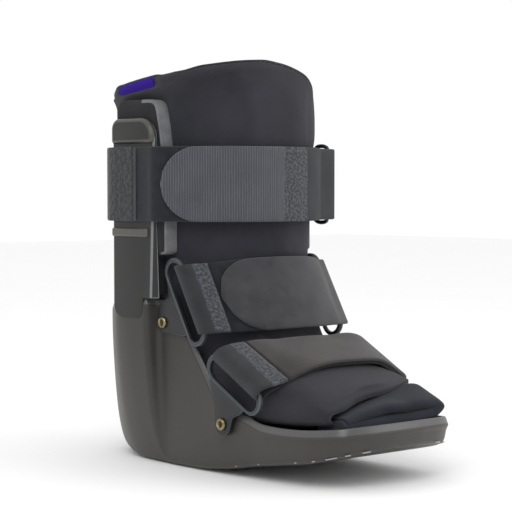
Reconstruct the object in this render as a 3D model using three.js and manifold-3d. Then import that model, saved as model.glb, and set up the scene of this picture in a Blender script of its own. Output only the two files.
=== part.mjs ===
// A medical walking boot: a hard shell with two uprights, a padded cloth liner and three straps.
// Millimetres, +Z up, toe towards -Y, the side with the label towards -X.
import * as THREE from "three";
import { mergeVertices } from "three/addons/utils/BufferGeometryUtils.js";
import Module from "manifold-3d";

const wasm = await Module();
wasm.setup();

// Driving dimensions
const GAP = 0.35; // air between touching pieces
const WALL = 3.2; // wall of the shell
const UPRIGHT = { front: 35, rear: 79, inside: 65.4, outside: 69, bottom: 110, top: 229.5 };
const CHANNEL = { bottom: 157, top: 212.5, lip: 6, proud: 2 };
const PAD = { front: 27, rear: 80, inside: 56.3, outside: 65, bottom: 112, top: 242, corner: 14, notch: 141 };
const STRAP = { width: 50, thickness: 2.2 };
const CLOTH = { flap: 4.2, wall: 5, reach: 0.4 };
const PLATE = { thickness: 3.2, frame: 6, slot: 2.6 };
const RIVET = { head: 4, dome: 1.7, shank: 2.1 };
const RING = { wire: 1.75, front: [71.6, 17], rear: [70.6, 29], bottom: 157.5, top: 214.5 };

// Sections of the padded boot from the leg's top to the toe: where each one meets the front and the back
// of the middle plane, half its width, and how square it is (2 is an ellipse).
const BOOT = [
  { frontY: -11, frontZ: 268, backY: 127, backZ: 248.5, half: 58.5, square: 2.4 },
  { frontY: -14, frontZ: 262, backY: 129, backZ: 243.5, half: 60.5, square: 2.4 },
  { frontY: -15, frontZ: 255.5, backY: 129.5, backZ: 240, half: 59, square: 2.4 },
  { frontY: -15.5, frontZ: 244, backY: 129.5, backZ: 230, half: 55.4, square: 2.5 },
  { frontY: -15, frontZ: 215, backY: 128, backZ: 205, half: 55.6, square: 2.5 },
  { frontY: -12.5, frontZ: 180, backY: 126, backZ: 175, half: 55.6, square: 2.5 },
  { frontY: -9.5, frontZ: 150, backY: 124, backZ: 148, half: 55.4, square: 2.5 },
  { frontY: -10.5, frontZ: 126, backY: 122.5, backZ: 115, half: 54.6, square: 2.5 },
  { frontY: -16.5, frontZ: 106, backY: 121, backZ: 84, half: 54.1, square: 2.5 },
  { frontY: -24, frontZ: 92, backY: 117, backZ: 56, half: 53.6, square: 2.6 },
  { frontY: -31, frontZ: 82, backY: 104, backZ: 33, half: 53.5, square: 2.8 },
  { frontY: -40, frontZ: 77.6, backY: 76, backZ: 26.5, half: 53, square: 3 },
  { frontY: -54, frontZ: 73.6, backY: 34, backZ: 26.8, half: 53, square: 3.2 },
  { frontY: -72, frontZ: 68.6, backY: -14, backZ: 28, half: 53.5, square: 3.2 },
  { frontY: -89, frontZ: 62.5, backY: -54, backZ: 30.4, half: 53.5, square: 3.2 },
  { frontY: -103, frontZ: 56, backY: -86, backZ: 33.2, half: 52.5, square: 3.2 },
  { frontY: -113, frontZ: 49, backY: -108, backZ: 35.8, half: 47, square: 3 },
];
const TOE_LAYER = 5.8; // thickness of the folded layer at the toe

// Half of the shell's edge from the heel to the toe: the wall's outside, the sole's outside,
// and the heights of the sole's underside and of the rim.
const SHELL = [
  { wallX: 9, wallY: 131.5, soleX: 8, soleY: 127.5, under: 11, rim: 113 },
  { wallX: 24, wallY: 127.5, soleX: 20, soleY: 124, under: 10.5, rim: 113 },
  { wallX: 37, wallY: 119.5, soleX: 31, soleY: 116.5, under: 9.5, rim: 113 },
  { wallX: 48, wallY: 110, soleX: 40, soleY: 107, under: 7.5, rim: 113 },
  { wallX: 57, wallY: 99, soleX: 47, soleY: 95, under: 4.5, rim: 112.5 },
  { wallX: 63.5, wallY: 88, soleX: 51.5, soleY: 82, under: 1.4, rim: 110 },
  { wallX: 67.5, wallY: 77, soleX: 54, soleY: 69, under: 0, rim: 111 },
  { wallX: 68.6, wallY: 62, soleX: 55.5, soleY: 55, under: 0, rim: 111 },
  { wallX: 68.6, wallY: 45.5, soleX: 56.5, soleY: 40, under: 0, rim: 111 },
  { wallX: 59, wallY: 41.5, soleX: 57, soleY: 35, under: 0, rim: 110 },
  { wallX: 58.6, wallY: 26, soleX: 57.3, soleY: 20, under: 0, rim: 105 },
  { wallX: 58.5, wallY: 16, soleX: 57.6, soleY: 10, under: 0.2, rim: 92 },
  { wallX: 58.5, wallY: -1, soleX: 58, soleY: -4, under: 1.2, rim: 70 },
  { wallX: 59.2, wallY: -19, soleX: 58, soleY: -20, under: 3, rim: 47 },
  { wallX: 59.6, wallY: -32, soleX: 58, soleY: -33, under: 5.2, rim: 43.5 },
  { wallX: 59.8, wallY: -46, soleX: 58, soleY: -46, under: 7.7, rim: 40.5 },
  { wallX: 60, wallY: -60, soleX: 58, soleY: -60, under: 9.8, rim: 36.6 },
  { wallX: 59.2, wallY: -79, soleX: 57.5, soleY: -78, under: 12.4, rim: 36 },
  { wallX: 57.5, wallY: -96, soleX: 56, soleY: -95, under: 14.9, rim: 36.6 },
  { wallX: 53, wallY: -109, soleX: 51.5, soleY: -107.5, under: 17.4, rim: 37.6 },
  { wallX: 46, wallY: -120.5, soleX: 45, soleY: -118.5, under: 20.2, rim: 38.8 },
  { wallX: 31, wallY: -127, soleX: 30.5, soleY: -125, under: 22.2, rim: 39.8 },
  { wallX: 10, wallY: -130.5, soleX: 10, soleY: -128.5, under: 23.4, rim: 40.4 },
];

// Height of the foot bed along the shell.
const BED = [
  { y: -130, z: 36 },
  { y: -95, z: 32.2 },
  { y: -60, z: 29 },
  { y: -20, z: 26.3 },
  { y: 60, z: 25.5 },
  { y: 130, z: 25.5 },
];

// The ankle strap and the foot strap: slot ends and rivet on the side plane (Y, Z), the plate's inner face,
// the way the strap leads from its slots, the direction of its width at the middle, and half of its
// route over the cloth (X, and the distance along the lead).
const MID = {
  slot: [[23, 132.5], [-2.5, 88.8]],
  rivet: [34, 95],
  footRear: [[25, 128], [28.2, 121], [28.2, 112], [37, 108.5], [40, 104], [40.5, 95]],
  footRadius: 6.5,
  footArc: -Math.PI / 2,
  footFront: [[22, 88], [11, 89.5], [4, 94]],
  plane: 59,
  lead: [-0.99, 0.14],
  widthAtMiddle: [0, -0.4, -0.917],
  route: [[56.8, 6.5], [50, 13.6], [38, 22.4], [20, 29.4], [0, 31.9]],
  tabEnd: -47,
  freeEnd: -44,
};
const FOOT = {
  slot: [[-19.5, 72.5], [-58, 51.5]],
  rivet: [-27, 34],
  footRear: [[-16.5, 70], [-15.5, 62], [-19, 48], [-19.5, 34]],
  footRadius: 7.5,
  footArc: -0.86 * Math.PI,
  footFront: [[-37, 39.5], [-44, 43], [-51, 46.8], [-53.5, 49]],
  plane: 60.5,
  lead: [-0.697, 0.717],
  widthAtMiddle: [0, -0.965, -0.26],
  route: [[57.6, 8], [50.5, 14.2], [35, 19.9], [18, 22.1], [0, 22.7]],
  tabEnd: -45,
  freeEnd: -42,
};

// Plan route of the top strap over the shin, half of it, and the levels of its layers on the uprights.
const TOP = {
  bottom: 161,
  shin: [[0, -17.2], [12, -16.4], [25, -13.2], [36, -7], [51, 8.5], [66.8, 25.4]],
  tabFront: 50,
  freeEnd: [-70.6, 27.5],
};

// Closed solids from rings

// Turns rings of points, each a closed loop of the same even count, into one closed geometry.
// Open lofts are closed at both ends by strips between opposite points of the ring.
function loft(rings, closedOnItself = false) {
  const count = rings[0].length;
  const positions = rings.flat().flat();
  const index = [];
  const at = (ring, point) => (ring % rings.length) * count + ((point + count) % count);
  const quad = (a, b, c, d) => index.push(a, b, c, a, c, d);
  const steps = closedOnItself ? rings.length : rings.length - 1;
  for (let r = 0; r < steps; r++) {
    for (let p = 0; p < count; p++) {
      quad(at(r, p), at(r, p + 1), at(r + 1, p + 1), at(r + 1, p));
    }
  }
  if (!closedOnItself) {
    const end = rings.length - 1;
    for (let p = 0; p < count / 2 - 1; p++) {
      quad(at(0, p + 1), at(0, p), at(0, count - 1 - p), at(0, count - 2 - p));
      quad(at(end, p), at(end, p + 1), at(end, count - 2 - p), at(end, count - 1 - p));
    }
  }
  return closedGeometry(positions, index);
}

// Merges equal points, drops triangles without area and turns the faces outward.
function closedGeometry(positions, index) {
  let geometry = new THREE.BufferGeometry();
  geometry.setAttribute("position", new THREE.Float32BufferAttribute(positions, 3));
  geometry.setIndex(index);
  geometry = mergeVertices(geometry, 1e-3);
  const old = geometry.index.array;
  const kept = [];
  for (let i = 0; i < old.length; i += 3) {
    const [a, b, c] = [old[i], old[i + 1], old[i + 2]];
    if (a !== b && b !== c && c !== a) kept.push(a, b, c);
  }
  if (signedVolume(geometry.attributes.position, kept) < 0) kept.reverse();
  geometry.setIndex(kept);
  return geometry;
}

function signedVolume(position, index) {
  const [a, b, c] = [new THREE.Vector3(), new THREE.Vector3(), new THREE.Vector3()];
  let volume = 0;
  for (let i = 0; i < index.length; i += 3) {
    a.fromBufferAttribute(position, index[i]);
    b.fromBufferAttribute(position, index[i + 1]);
    c.fromBufferAttribute(position, index[i + 2]);
    volume += a.dot(b.cross(c)) / 6;
  }
  return volume;
}

function toSolid(geometry) {
  const bare = geometry.clone();
  bare.deleteAttribute("normal");
  bare.deleteAttribute("uv");
  const merged = mergeVertices(bare, 1e-3);
  const vertProperties = merged.attributes.position.array;
  const triVerts = new Uint32Array(merged.index.array);
  return new wasm.Manifold(new wasm.Mesh({ numProp: 3, vertProperties, triVerts }));
}

function toGeometry(solid) {
  const mesh = solid.getMesh();
  const geometry = new THREE.BufferGeometry();
  geometry.setAttribute("position", new THREE.BufferAttribute(mesh.vertProperties, 3));
  geometry.setIndex(new THREE.BufferAttribute(mesh.triVerts, 1));
  return geometry;
}

// Value of a column of a table at a place between its rows, on a smooth curve through the rows.
function column(table, name, place) {
  const last = table.length - 1;
  const row = Math.min(Math.max(Math.floor(place), 0), last - 1);
  const t = place - row;
  const value = (i) => table[Math.min(Math.max(i, 0), last)][name];
  const [p0, p1, p2, p3] = [value(row - 1), value(row), value(row + 1), value(row + 2)];
  const slopeIn = (p2 - p0) / 2;
  const slopeOut = (p3 - p1) / 2;
  const t2 = t * t;
  const t3 = t2 * t;
  const values = (2 * t3 - 3 * t2 + 1) * p1 + (3 * t2 - 2 * t3) * p2;
  return values + (t3 - 2 * t2 + t) * slopeIn + (t3 - t2) * slopeOut;
}

function bedHeight(y) {
  const row = BED.findIndex((entry) => y <= entry.y);
  if (row <= 0) return BED[row < 0 ? BED.length - 1 : 0].z;
  const [before, after] = [BED[row - 1], BED[row]];
  return THREE.MathUtils.mapLinear(y, before.y, after.y, before.z, after.z);
}

// The rounded step from 0 to 1 between two values.
function ease(value, from, to) {
  return THREE.MathUtils.smoothstep(value, Math.min(from, to), Math.max(from, to)) * (from < to ? 1 : -1) +
    (from < to ? 0 : 1);
}

// Shell

// The shell's edge as a closed loop of stations, moved between the sole's outline and the wall's,
// and moved inward by an inset.
function shellRing(lean, inset, heightOf) {
  const half = SHELL.map((row) => ({
    x: THREE.MathUtils.lerp(row.soleX, row.wallX, lean),
    y: THREE.MathUtils.lerp(row.soleY, row.wallY, lean),
    row,
  }));
  const moved = half.map((station, i) => {
    const before = half[Math.max(i - 1, 0)];
    const after = half[Math.min(i + 1, half.length - 1)];
    const along = new THREE.Vector2(after.x - before.x, after.y - before.y).normalize();
    const x = station.x + along.y * inset;
    const y = station.y - along.x * inset;
    return [x, y, heightOf(station.row, y)];
  });
  const mirrored = moved.map(([x, y, z]) => [-x, y, z]).reverse();
  return [...moved, ...mirrored];
}

function shellBody() {
  const side = 17; // height of the sole's side
  const between = (row, share) => {
    const start = row.under + side;
    return start + Math.max(row.rim - start, 1) * share;
  };
  const rings = [
    shellRing(0, 9, (row) => row.under),
    shellRing(0, 2.4, (row) => row.under + 1.2),
    shellRing(0, 0, (row) => row.under + 4.5),
    shellRing(0.45, 0, (row) => row.under + side),
    shellRing(0.8, 0, (row) => between(row, 0.35)),
    shellRing(1, 0, (row) => between(row, 0.75)),
    shellRing(1, 0.5, (row) => row.rim - 0.6),
    shellRing(1, 1.2, (row) => row.rim),
    shellRing(1, WALL, (row) => row.rim),
    shellRing(0.8, WALL, (row, y) => Math.max(between(row, 0.35), bedHeight(y) + 2)),
    shellRing(0.45, WALL + 1, (row, y) => bedHeight(y) + 1.8),
    shellRing(0.45, WALL + 4, (row, y) => bedHeight(y)),
  ];
  return loft(rings);
}

// A flat outline on the side plane (points are Y, Z), made solid between two distances from the middle.
function sideExtrusion(shape, inside, outside, bevel = 0) {
  const geometry = new THREE.ExtrudeGeometry(shape, {
    depth: outside - inside - 2 * bevel,
    bevelEnabled: bevel > 0,
    bevelThickness: bevel,
    bevelSize: bevel,
    bevelOffset: -bevel,
    bevelSegments: 1,
    curveSegments: 6,
  });
  const turn = new THREE.Matrix4().makeBasis(
    new THREE.Vector3(0, 1, 0),
    new THREE.Vector3(0, 0, 1),
    new THREE.Vector3(1, 0, 0),
  );
  return geometry.applyMatrix4(turn).translate(inside + bevel, 0, 0);
}

// A rounded rectangle on the side plane; the radii are of the front-top and rear-top corners.
function panelShape(front, rear, bottom, top, frontRadius, rearRadius) {
  const shape = new THREE.Shape();
  shape.moveTo(front, bottom);
  shape.lineTo(rear, bottom);
  shape.lineTo(rear, top - rearRadius);
  if (rearRadius) shape.absarc(rear - rearRadius, top - rearRadius, rearRadius, 0, Math.PI / 2, false);
  shape.lineTo(front + frontRadius, top);
  if (frontRadius) {
    shape.absarc(front + frontRadius, top - frontRadius, frontRadius, Math.PI / 2, Math.PI, false);
  }
  shape.closePath();
  return shape;
}

// The wedge that the upright's front edge loses, from nothing at the channel to its widest at the shell.
function edgeWedge() {
  const { front, outside, inside } = UPRIGHT;
  const widest = 4.4;
  const section = (z, size) => [
    [outside + 1, front - 1, z],
    [outside + 1, front + size, z],
    [outside, front + size, z],
    [inside + 1, front, z],
    [inside + 1, front - 1, z],
    [outside, front - 1, z],
  ];
  return loft([
    section(UPRIGHT.bottom - 5, widest),
    section(UPRIGHT.bottom + 2, widest),
    section(CHANNEL.bottom - 2, 0.2),
  ]);
}

function uprightSolid() {
  const { front, rear, inside, outside, bottom, top } = UPRIGHT;
  const lipBottom = CHANNEL.bottom - CHANNEL.lip;
  const blade = toSolid(sideExtrusion(panelShape(front, rear, bottom, top - 1, 13, 7), inside, outside));
  const rootShape = panelShape(front + 12, rear - 2, bottom - 14, bottom + 4, 0, 0);
  const root = toSolid(sideExtrusion(rootShape, inside, outside - 0.6));
  const head = toSolid(
    sideExtrusion(panelShape(front, rear, CHANNEL.top, top, 13, 7), inside, outside + CHANNEL.proud, 1.4),
  );
  const lip = toSolid(
    sideExtrusion(panelShape(front + 0.4, rear, lipBottom, CHANNEL.bottom, 1, 1), inside + 1, outside + 1.6),
  );
  return blade.subtract(toSolid(edgeWedge())).add(head).add(lip).add(root);
}

function mirrorGeometry(geometry) {
  const mirrored = geometry.clone().scale(-1, 1, 1);
  const plain = mirrored.index ? mirrored.toNonIndexed() : mirrored;
  const array = plain.attributes.position.array;
  for (let i = 0; i < array.length; i += 9) {
    for (let k = 0; k < 3; k++) {
      [array[i + 3 + k], array[i + 6 + k]] = [array[i + 6 + k], array[i + 3 + k]];
    }
  }
  const bare = new THREE.BufferGeometry();
  bare.setAttribute("position", plain.attributes.position);
  return mergeVertices(bare, 1e-3);
}

// A pin across the side wall at a rivet's place, as the tool that drills its hole.
function rivetDrill(place, radius, from, to) {
  const pin = new THREE.CylinderGeometry(radius, radius, to - from, 16);
  pin.rotateZ(Math.PI / 2).translate((from + to) / 2, place[0], place[1]);
  return pin;
}

function shellGeometry() {
  const upright = toGeometry(uprightSolid());
  const drills = [MID, FOOT].map((set) => rivetDrill(set.rivet, RIVET.shank + GAP, 45, 75));
  let shell = toSolid(shellBody());
  shell = shell.add(toSolid(upright)).add(toSolid(mirrorGeometry(upright)));
  for (const drill of drills) {
    shell = shell.subtract(toSolid(drill)).subtract(toSolid(mirrorGeometry(drill)));
  }
  return toGeometry(shell);
}

// Cloth boot

// A point of the boot's outer surface: the place along the sections, the angle round them
// (0 at the front, 90 towards +X, 180 at the back) and how far inside it lies.
function bootPoint(place, degrees, inset) {
  const row = {};
  for (const name of Object.keys(BOOT[0])) row[name] = column(BOOT, name, place);
  const angle = THREE.MathUtils.degToRad(degrees);
  const power = 2 / row.square;
  const along = Math.sign(Math.cos(angle)) * Math.abs(Math.cos(angle)) ** power;
  const across = Math.sign(Math.sin(angle)) * Math.abs(Math.sin(angle)) ** power;
  const reachY = (row.frontY - row.backY) / 2;
  const reachZ = (row.frontZ - row.backZ) / 2;
  const reach = Math.hypot(reachY, reachZ);
  const kept = (reach - inset) / reach;
  return [
    (row.half - inset) * across,
    (row.frontY + row.backY) / 2 + reachY * kept * along,
    (row.frontZ + row.backZ) / 2 + reachZ * kept * along,
  ];
}

const FLAP = {
  nearLeg: -124,
  nearFoot: -116,
  farLeg: 60,
  farFoot: 72,
  corner: 68,
  cornerDrop: 4,
  nearDrop: 0.25,
  toeNear: 15.75,
  toeFar: 14.05,
};

// The angles of the flap's two edges at a place along the boot.
function flapEdges(place) {
  const onFoot = ease(place, 9, 12.5);
  return [
    THREE.MathUtils.lerp(FLAP.nearLeg, FLAP.nearFoot, onFoot),
    THREE.MathUtils.lerp(FLAP.farLeg, FLAP.farFoot, onFoot),
  ];
}

// Where the flap starts and ends along the sections, at a share of its width from near to far.
function flapLimits(share) {
  const degrees = THREE.MathUtils.lerp(FLAP.nearLeg, FLAP.farLeg, share);
  const intoCorner = Math.max(0, (degrees - (FLAP.farLeg - FLAP.corner)) / FLAP.corner);
  const round = intoCorner ** 1.15;
  const step = FLAP.nearDrop * (1 - ease(degrees, -66, -50));
  const toe = THREE.MathUtils.lerp(FLAP.toeNear, FLAP.toeFar, ease(share, 0.35, 1));
  return [0.02 + step + FLAP.cornerDrop * round, toe];
}

function flapGeometry() {
  const columns = 18;
  const rows = 19;
  const rings = [];
  for (let j = 0; j <= columns; j++) {
    const share = j / columns;
    const [start, end] = flapLimits(share);
    const outer = [];
    const inner = [];
    for (let i = 0; i <= rows; i++) {
      const place = THREE.MathUtils.lerp(start, end, i / rows);
      const [near, far] = flapEdges(place);
      const degrees = THREE.MathUtils.lerp(near, far, share);
      const edge = Math.min(i, rows - i, j, columns - j) === 0 ? 0.9 : 0;
      outer.push(bootPoint(place, degrees, edge));
      inner.unshift(bootPoint(place, degrees, CLOTH.flap - edge));
    }
    rings.push([...outer, ...inner]);
  }
  return loft(rings);
}

// How far the flap lies over the liner at a place and an angle, from 0 to 1.
function coveredByFlap(place, degrees) {
  const [near, far] = flapEdges(place);
  return ease(degrees, near - 12, near - 3) * ease(degrees, far + 12, far + 3);
}

function linerGeometry() {
  const sides = 28;
  const rows = 18;
  const toeEnd = (degrees) => THREE.MathUtils.lerp(13.5, 14.75, ease(Math.abs(degrees), 118, 150));
  const outerInset = (place, degrees) => GAP + coveredByFlap(place, degrees) * (CLOTH.flap + 0.5);
  const innerInset = (place, degrees) =>
    GAP + CLOTH.wall + CLOTH.flap * (0.5 + 0.5 * coveredByFlap(place, degrees));
  const ring = (share, insetOf) => {
    const points = [];
    for (let k = 0; k < sides; k++) {
      const degrees = -180 + (360 * (k + 0.5)) / sides;
      const farSide = ease(degrees, 0, 52) * (1 - ease(degrees, 112, 172));
      const start = 0.3 * coveredByFlap(0, degrees) + 2.7 * farSide;
      const place = THREE.MathUtils.lerp(start, toeEnd(degrees), share);
      points.push(bootPoint(place, degrees, insetOf(place, degrees)));
    }
    return points;
  };
  const rings = [];
  for (let i = 0; i <= rows; i++) rings.push(ring(i / rows, outerInset));
  for (let i = rows; i >= 0; i--) rings.push(ring(i / rows, innerInset));
  return loft(rings, true);
}

function tabGeometry() {
  const rings = [];
  const steps = 8;
  for (let j = 0; j <= steps; j++) {
    const degrees = THREE.MathUtils.lerp(-107.5, -81.5, j / steps);
    const end = j === 0 || j === steps ? 0.1 : 0;
    const lines = [0.2 + end, 0.35, 1.55, 1.7 - end];
    const outer = lines.map((place) => bootPoint(place, degrees, -1.9));
    const inner = lines.map((place) => bootPoint(place, degrees, -0.8)).reverse();
    rings.push([...outer, ...inner]);
  }
  return loft(rings);
}

// The folded layer at the open toe: it lies on the sole, turns over at the far side and comes back.
// The lower part slopes with the foot bed, and the upper part rises towards the flap.
function toeFoldGeometry() {
  const lower = [[-40, 37.5], [-20, 37.2], [10, 37.2], [34, 38.2]];
  const fold = [[42.5, 40.2], [46.6, 44], [43.5, 48.4]];
  const upper = [[34, 49.4], [14, 48.6], [-4, 46.2]];
  const route = [...lower, ...fold, ...upper];
  const points = route.map(([x, z]) => new THREE.Vector3(x, -102.5, z));
  const across = ({ x, z }) => {
    const rise = 0.3 * ease(x, -4, 20);
    return new THREE.Vector3(0.1, 1, THREE.MathUtils.lerp(-0.12, rise, ease(z, 40, 47)));
  };
  return strapGeometry(stations(points, 6), across, 26, TOE_LAYER, false);
}

// Pads, plates and small hard pieces

function padGeometry() {
  const back = PAD.front + 11;
  const shape = new THREE.Shape();
  shape.moveTo(back, PAD.bottom);
  shape.lineTo(PAD.rear, PAD.bottom);
  shape.lineTo(PAD.rear, PAD.top - PAD.corner / 2);
  shape.absarc(PAD.rear - PAD.corner / 2, PAD.top - PAD.corner / 2, PAD.corner / 2, 0, Math.PI / 2, false);
  shape.absarc(PAD.front + PAD.corner, PAD.top - PAD.corner, PAD.corner, Math.PI / 2, Math.PI, false);
  shape.lineTo(PAD.front, PAD.notch);
  shape.lineTo(back, PAD.notch - 3);
  shape.closePath();
  return sideExtrusion(shape, PAD.inside, PAD.outside, 1);
}

// Unit vectors of a slot on the side plane: along it, from its front end to its rear end, and square to it.
function slotAxes([rear, front]) {
  const along = new THREE.Vector2(rear[0] - front[0], rear[1] - front[1]).normalize();
  return { along, ahead: new THREE.Vector2(-along.y, along.x) };
}

function capsule(path, [rear, front], radius) {
  const { ahead } = slotAxes([rear, front]);
  const angle = Math.atan2(ahead.y, ahead.x);
  path.moveTo(front[0] + ahead.x * radius, front[1] + ahead.y * radius);
  path.lineTo(rear[0] + ahead.x * radius, rear[1] + ahead.y * radius);
  path.absarc(rear[0], rear[1], radius, angle, angle - Math.PI, true);
  path.lineTo(front[0] - ahead.x * radius, front[1] - ahead.y * radius);
  path.absarc(front[0], front[1], radius, angle + Math.PI, angle, true);
}

// A plate is a frame round its slot joined to a foot that the rivet holds.
function plateGeometry(set) {
  const inside = set.plane;
  const outside = inside + PLATE.thickness;
  const frame = new THREE.Shape();
  capsule(frame, set.slot, PLATE.frame);
  const foot = new THREE.Shape();
  const [first, ...rest] = set.footRear;
  foot.moveTo(...first);
  for (const point of rest) foot.lineTo(...point);
  foot.absarc(set.rivet[0], set.rivet[1], set.footRadius, 0, set.footArc, true);
  for (const point of set.footFront) foot.lineTo(...point);
  foot.closePath();
  const slot = new THREE.Shape();
  capsule(slot, set.slot, PLATE.slot);
  const slotTool = sideExtrusion(slot, inside - 5, outside + 5);
  const hole = rivetDrill(set.rivet, RIVET.shank + GAP, inside - 5, outside + 5);
  const edge = 0.7;
  const footSolid = toSolid(sideExtrusion(foot, inside, outside, edge));
  const body = toSolid(sideExtrusion(frame, inside, outside, edge)).add(footSolid);
  return toGeometry(body.subtract(toSolid(slotTool)).subtract(toSolid(hole)));
}

function rivetGeometry(set, wallInside) {
  const seat = set.plane + PLATE.thickness + GAP;
  const inner = wallInside - seat;
  const profile = [
    [0, inner],
    [RIVET.shank, inner],
    [RIVET.shank, 0],
    [RIVET.head, 0],
    [RIVET.head, 0.5],
    [RIVET.head * 0.7, RIVET.dome],
    [RIVET.head * 0.35, RIVET.dome],
    [0, RIVET.dome * 0.6],
  ].map(([radius, height]) => new THREE.Vector2(radius, height));
  const lathe = new THREE.LatheGeometry(profile, 12).rotateZ(-Math.PI / 2).translate(seat, ...set.rivet);
  return closedGeometry([...lathe.attributes.position.array], [...lathe.index.array]);
}

// A wire rectangle standing on its short side, with round corners.
function ringGeometry() {
  const { wire, front, rear, bottom, top } = RING;
  const corner = 3.5;
  const low = bottom + wire;
  const high = top - wire;
  const at = (share, z) => new THREE.Vector3(
    THREE.MathUtils.lerp(front[0], rear[0], share),
    THREE.MathUtils.lerp(front[1], rear[1], share),
    z,
  );
  const span = Math.hypot(rear[0] - front[0], rear[1] - front[1]);
  const part = corner / span;
  const path = new THREE.CurvePath();
  const line = (a, b) => path.add(new THREE.LineCurve3(a, b));
  const bend = (a, b, c) => path.add(new THREE.QuadraticBezierCurve3(a, b, c));
  line(at(0, low + corner), at(0, high - corner));
  bend(at(0, high - corner), at(0, high), at(part, high));
  line(at(part, high), at(1 - part, high));
  bend(at(1 - part, high), at(1, high), at(1, high - corner));
  line(at(1, high - corner), at(1, low + corner));
  bend(at(1, low + corner), at(1, low), at(1 - part, low));
  line(at(1 - part, low), at(part, low));
  bend(at(part, low), at(0, low), at(0, low + corner));
  const round = 6;
  const steps = 36;
  const side = new THREE.Vector3(rear[1] - front[1], front[0] - rear[0], 0).normalize();
  const rings = [];
  for (let i = 0; i < steps; i++) {
    const point = path.getPointAt(i / steps);
    const tangent = path.getTangentAt(i / steps);
    const out = tangent.clone().cross(side).normalize();
    const ring = [];
    for (let k = 0; k < round; k++) {
      const angle = (2 * Math.PI * (k + 0.5)) / round;
      const place = point.clone();
      place.addScaledVector(out, wire * Math.cos(angle)).addScaledVector(side, wire * Math.sin(angle));
      ring.push(place.toArray());
    }
    rings.push(ring);
  }
  return loft(rings, true);
}

// Straps

// A flat strap along the stations of its middle line. `across` gives the direction of its width at a
// station, and the last stations narrow to a rounded end where asked.
function strapGeometry(points, across, width, thickness, roundedEnd) {
  const last = points.length - 1;
  const lengths = [0];
  for (let i = 1; i <= last; i++) lengths.push(lengths[i - 1] + points[i].distanceTo(points[i - 1]));
  const radius = width / 2;
  const rings = points.map((point, i) => {
    const direction = across(point).clone().normalize();
    const tangent = points[Math.min(i + 1, last)].clone().sub(points[Math.max(i - 1, 0)]).normalize();
    const normal = tangent.clone().cross(direction).normalize();
    const left = lengths[last] - lengths[i];
    const inRound = roundedEnd && left < radius;
    const half = inRound ? Math.sqrt(Math.max(radius ** 2 - (radius - left) ** 2, 16)) : radius;
    const corner = (w, n) => {
      const place = point.clone().addScaledVector(direction, w * half);
      return place.addScaledVector(normal, (n * thickness) / 2).toArray();
    };
    return [corner(-1, -1), corner(1, -1), corner(1, 1), corner(-1, 1)];
  });
  return loft(rings);
}

// Stations on a smooth curve through points, closer together where it bends and towards a rounded end.
function stations(points, step, roundedEnd = 0) {
  const curve = new THREE.CatmullRomCurve3(points, false, "centripetal");
  curve.arcLengthDivisions = 800;
  const length = curve.getLength();
  const plain = length - roundedEnd;
  const fine = 0.7;
  const sharpest = THREE.MathUtils.degToRad(20);
  const places = [0];
  let kept = 0;
  for (let place = fine; place < plain - fine; place += fine) {
    const turned = curve.getTangentAt(place / length).angleTo(curve.getTangentAt(kept / length));
    if (place - kept >= step || turned >= sharpest) {
      places.push(place);
      kept = place;
    }
  }
  places.push(plain);
  const roundSteps = 6;
  for (let i = 1; roundedEnd && i <= roundSteps; i++) {
    places.push(plain + roundedEnd * Math.sin((Math.PI / 2) * (i / roundSteps)));
  }
  return places.map((place) => curve.getPointAt(Math.min(place / length, 1)));
}

// A flat route moved to its left by a distance.
function offsetRoute(route, distance) {
  return route.map((point, i) => {
    const before = route[Math.max(i - 1, 0)];
    const after = route[Math.min(i + 1, route.length - 1)];
    const along = new THREE.Vector2(after[0] - before[0], after[1] - before[1]).normalize();
    return [point[0] - along.y * distance, point[1] + along.x * distance];
  });
}

const SLACK = 0.6; // air between a strap and the bar that it turns round
const LAYER = STRAP.thickness + CLOTH.reach;

// The middle line of a strap that is sewn round the near plate's bar, crosses to the far plate, turns
// through its slot and comes back over itself.
function slottedStrapGeometry(set) {
  const inner = set.plane - SLACK - STRAP.thickness / 2;
  const outer = set.plane + PLATE.thickness + SLACK + STRAP.thickness / 2;
  const turn = [[inner, 4.6], [inner + 0.2, 2.2], [set.plane + 0.4, 0.1], [set.plane + 2.8, 0.1],
    [outer - 0.2, 2.2], [outer, 5.4], [set.plane + 3.1, 8.9]];
  const farHalf = [...set.route].reverse();
  const nearHalf = set.route.map(([x, q]) => [-x, q]);
  const base = [...nearHalf, ...farHalf.slice(1)];
  const cover = offsetRoute(base, LAYER).reverse().slice(1, -1);
  const nearTurn = turn.map(([x, q]) => [-x, q]).reverse();
  const tab = cover.filter(([x]) => x < set.tabEnd - 4);
  const tabTip = onRoute(cover, set.tabEnd);
  const back = cover.filter(([x]) => x > set.freeEnd + 4);
  const backTip = onRoute(cover, set.freeEnd);
  const route = [tabTip, ...tab, ...nearTurn, ...base, ...turn, ...back, backTip];
  const [rear, front] = set.slot;
  const middle = [(rear[0] + front[0]) / 2, (rear[1] + front[1]) / 2];
  const place = ([x, q]) => new THREE.Vector3(x, middle[0] + set.lead[0] * q, middle[1] + set.lead[1] * q);
  const { along } = slotAxes(set.slot);
  const atSlot = new THREE.Vector3(0, -along.x, -along.y);
  const atMiddle = new THREE.Vector3(...set.widthAtMiddle);
  const across = (point) => atMiddle.clone().lerp(atSlot, ease(Math.abs(point.x), 20, set.plane - 3));
  const width = widthThroughSlot(set);
  return strapGeometry(stations(route.map(place), 7, width / 2), across, width, STRAP.thickness, true);
}

// The strap is as wide as its slot lets through, up to its full width.
function widthThroughSlot({ slot: [rear, front] }) {
  const length = Math.hypot(rear[0] - front[0], rear[1] - front[1]) + 2 * PLATE.slot;
  return Math.min(STRAP.width, length - 2);
}

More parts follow.
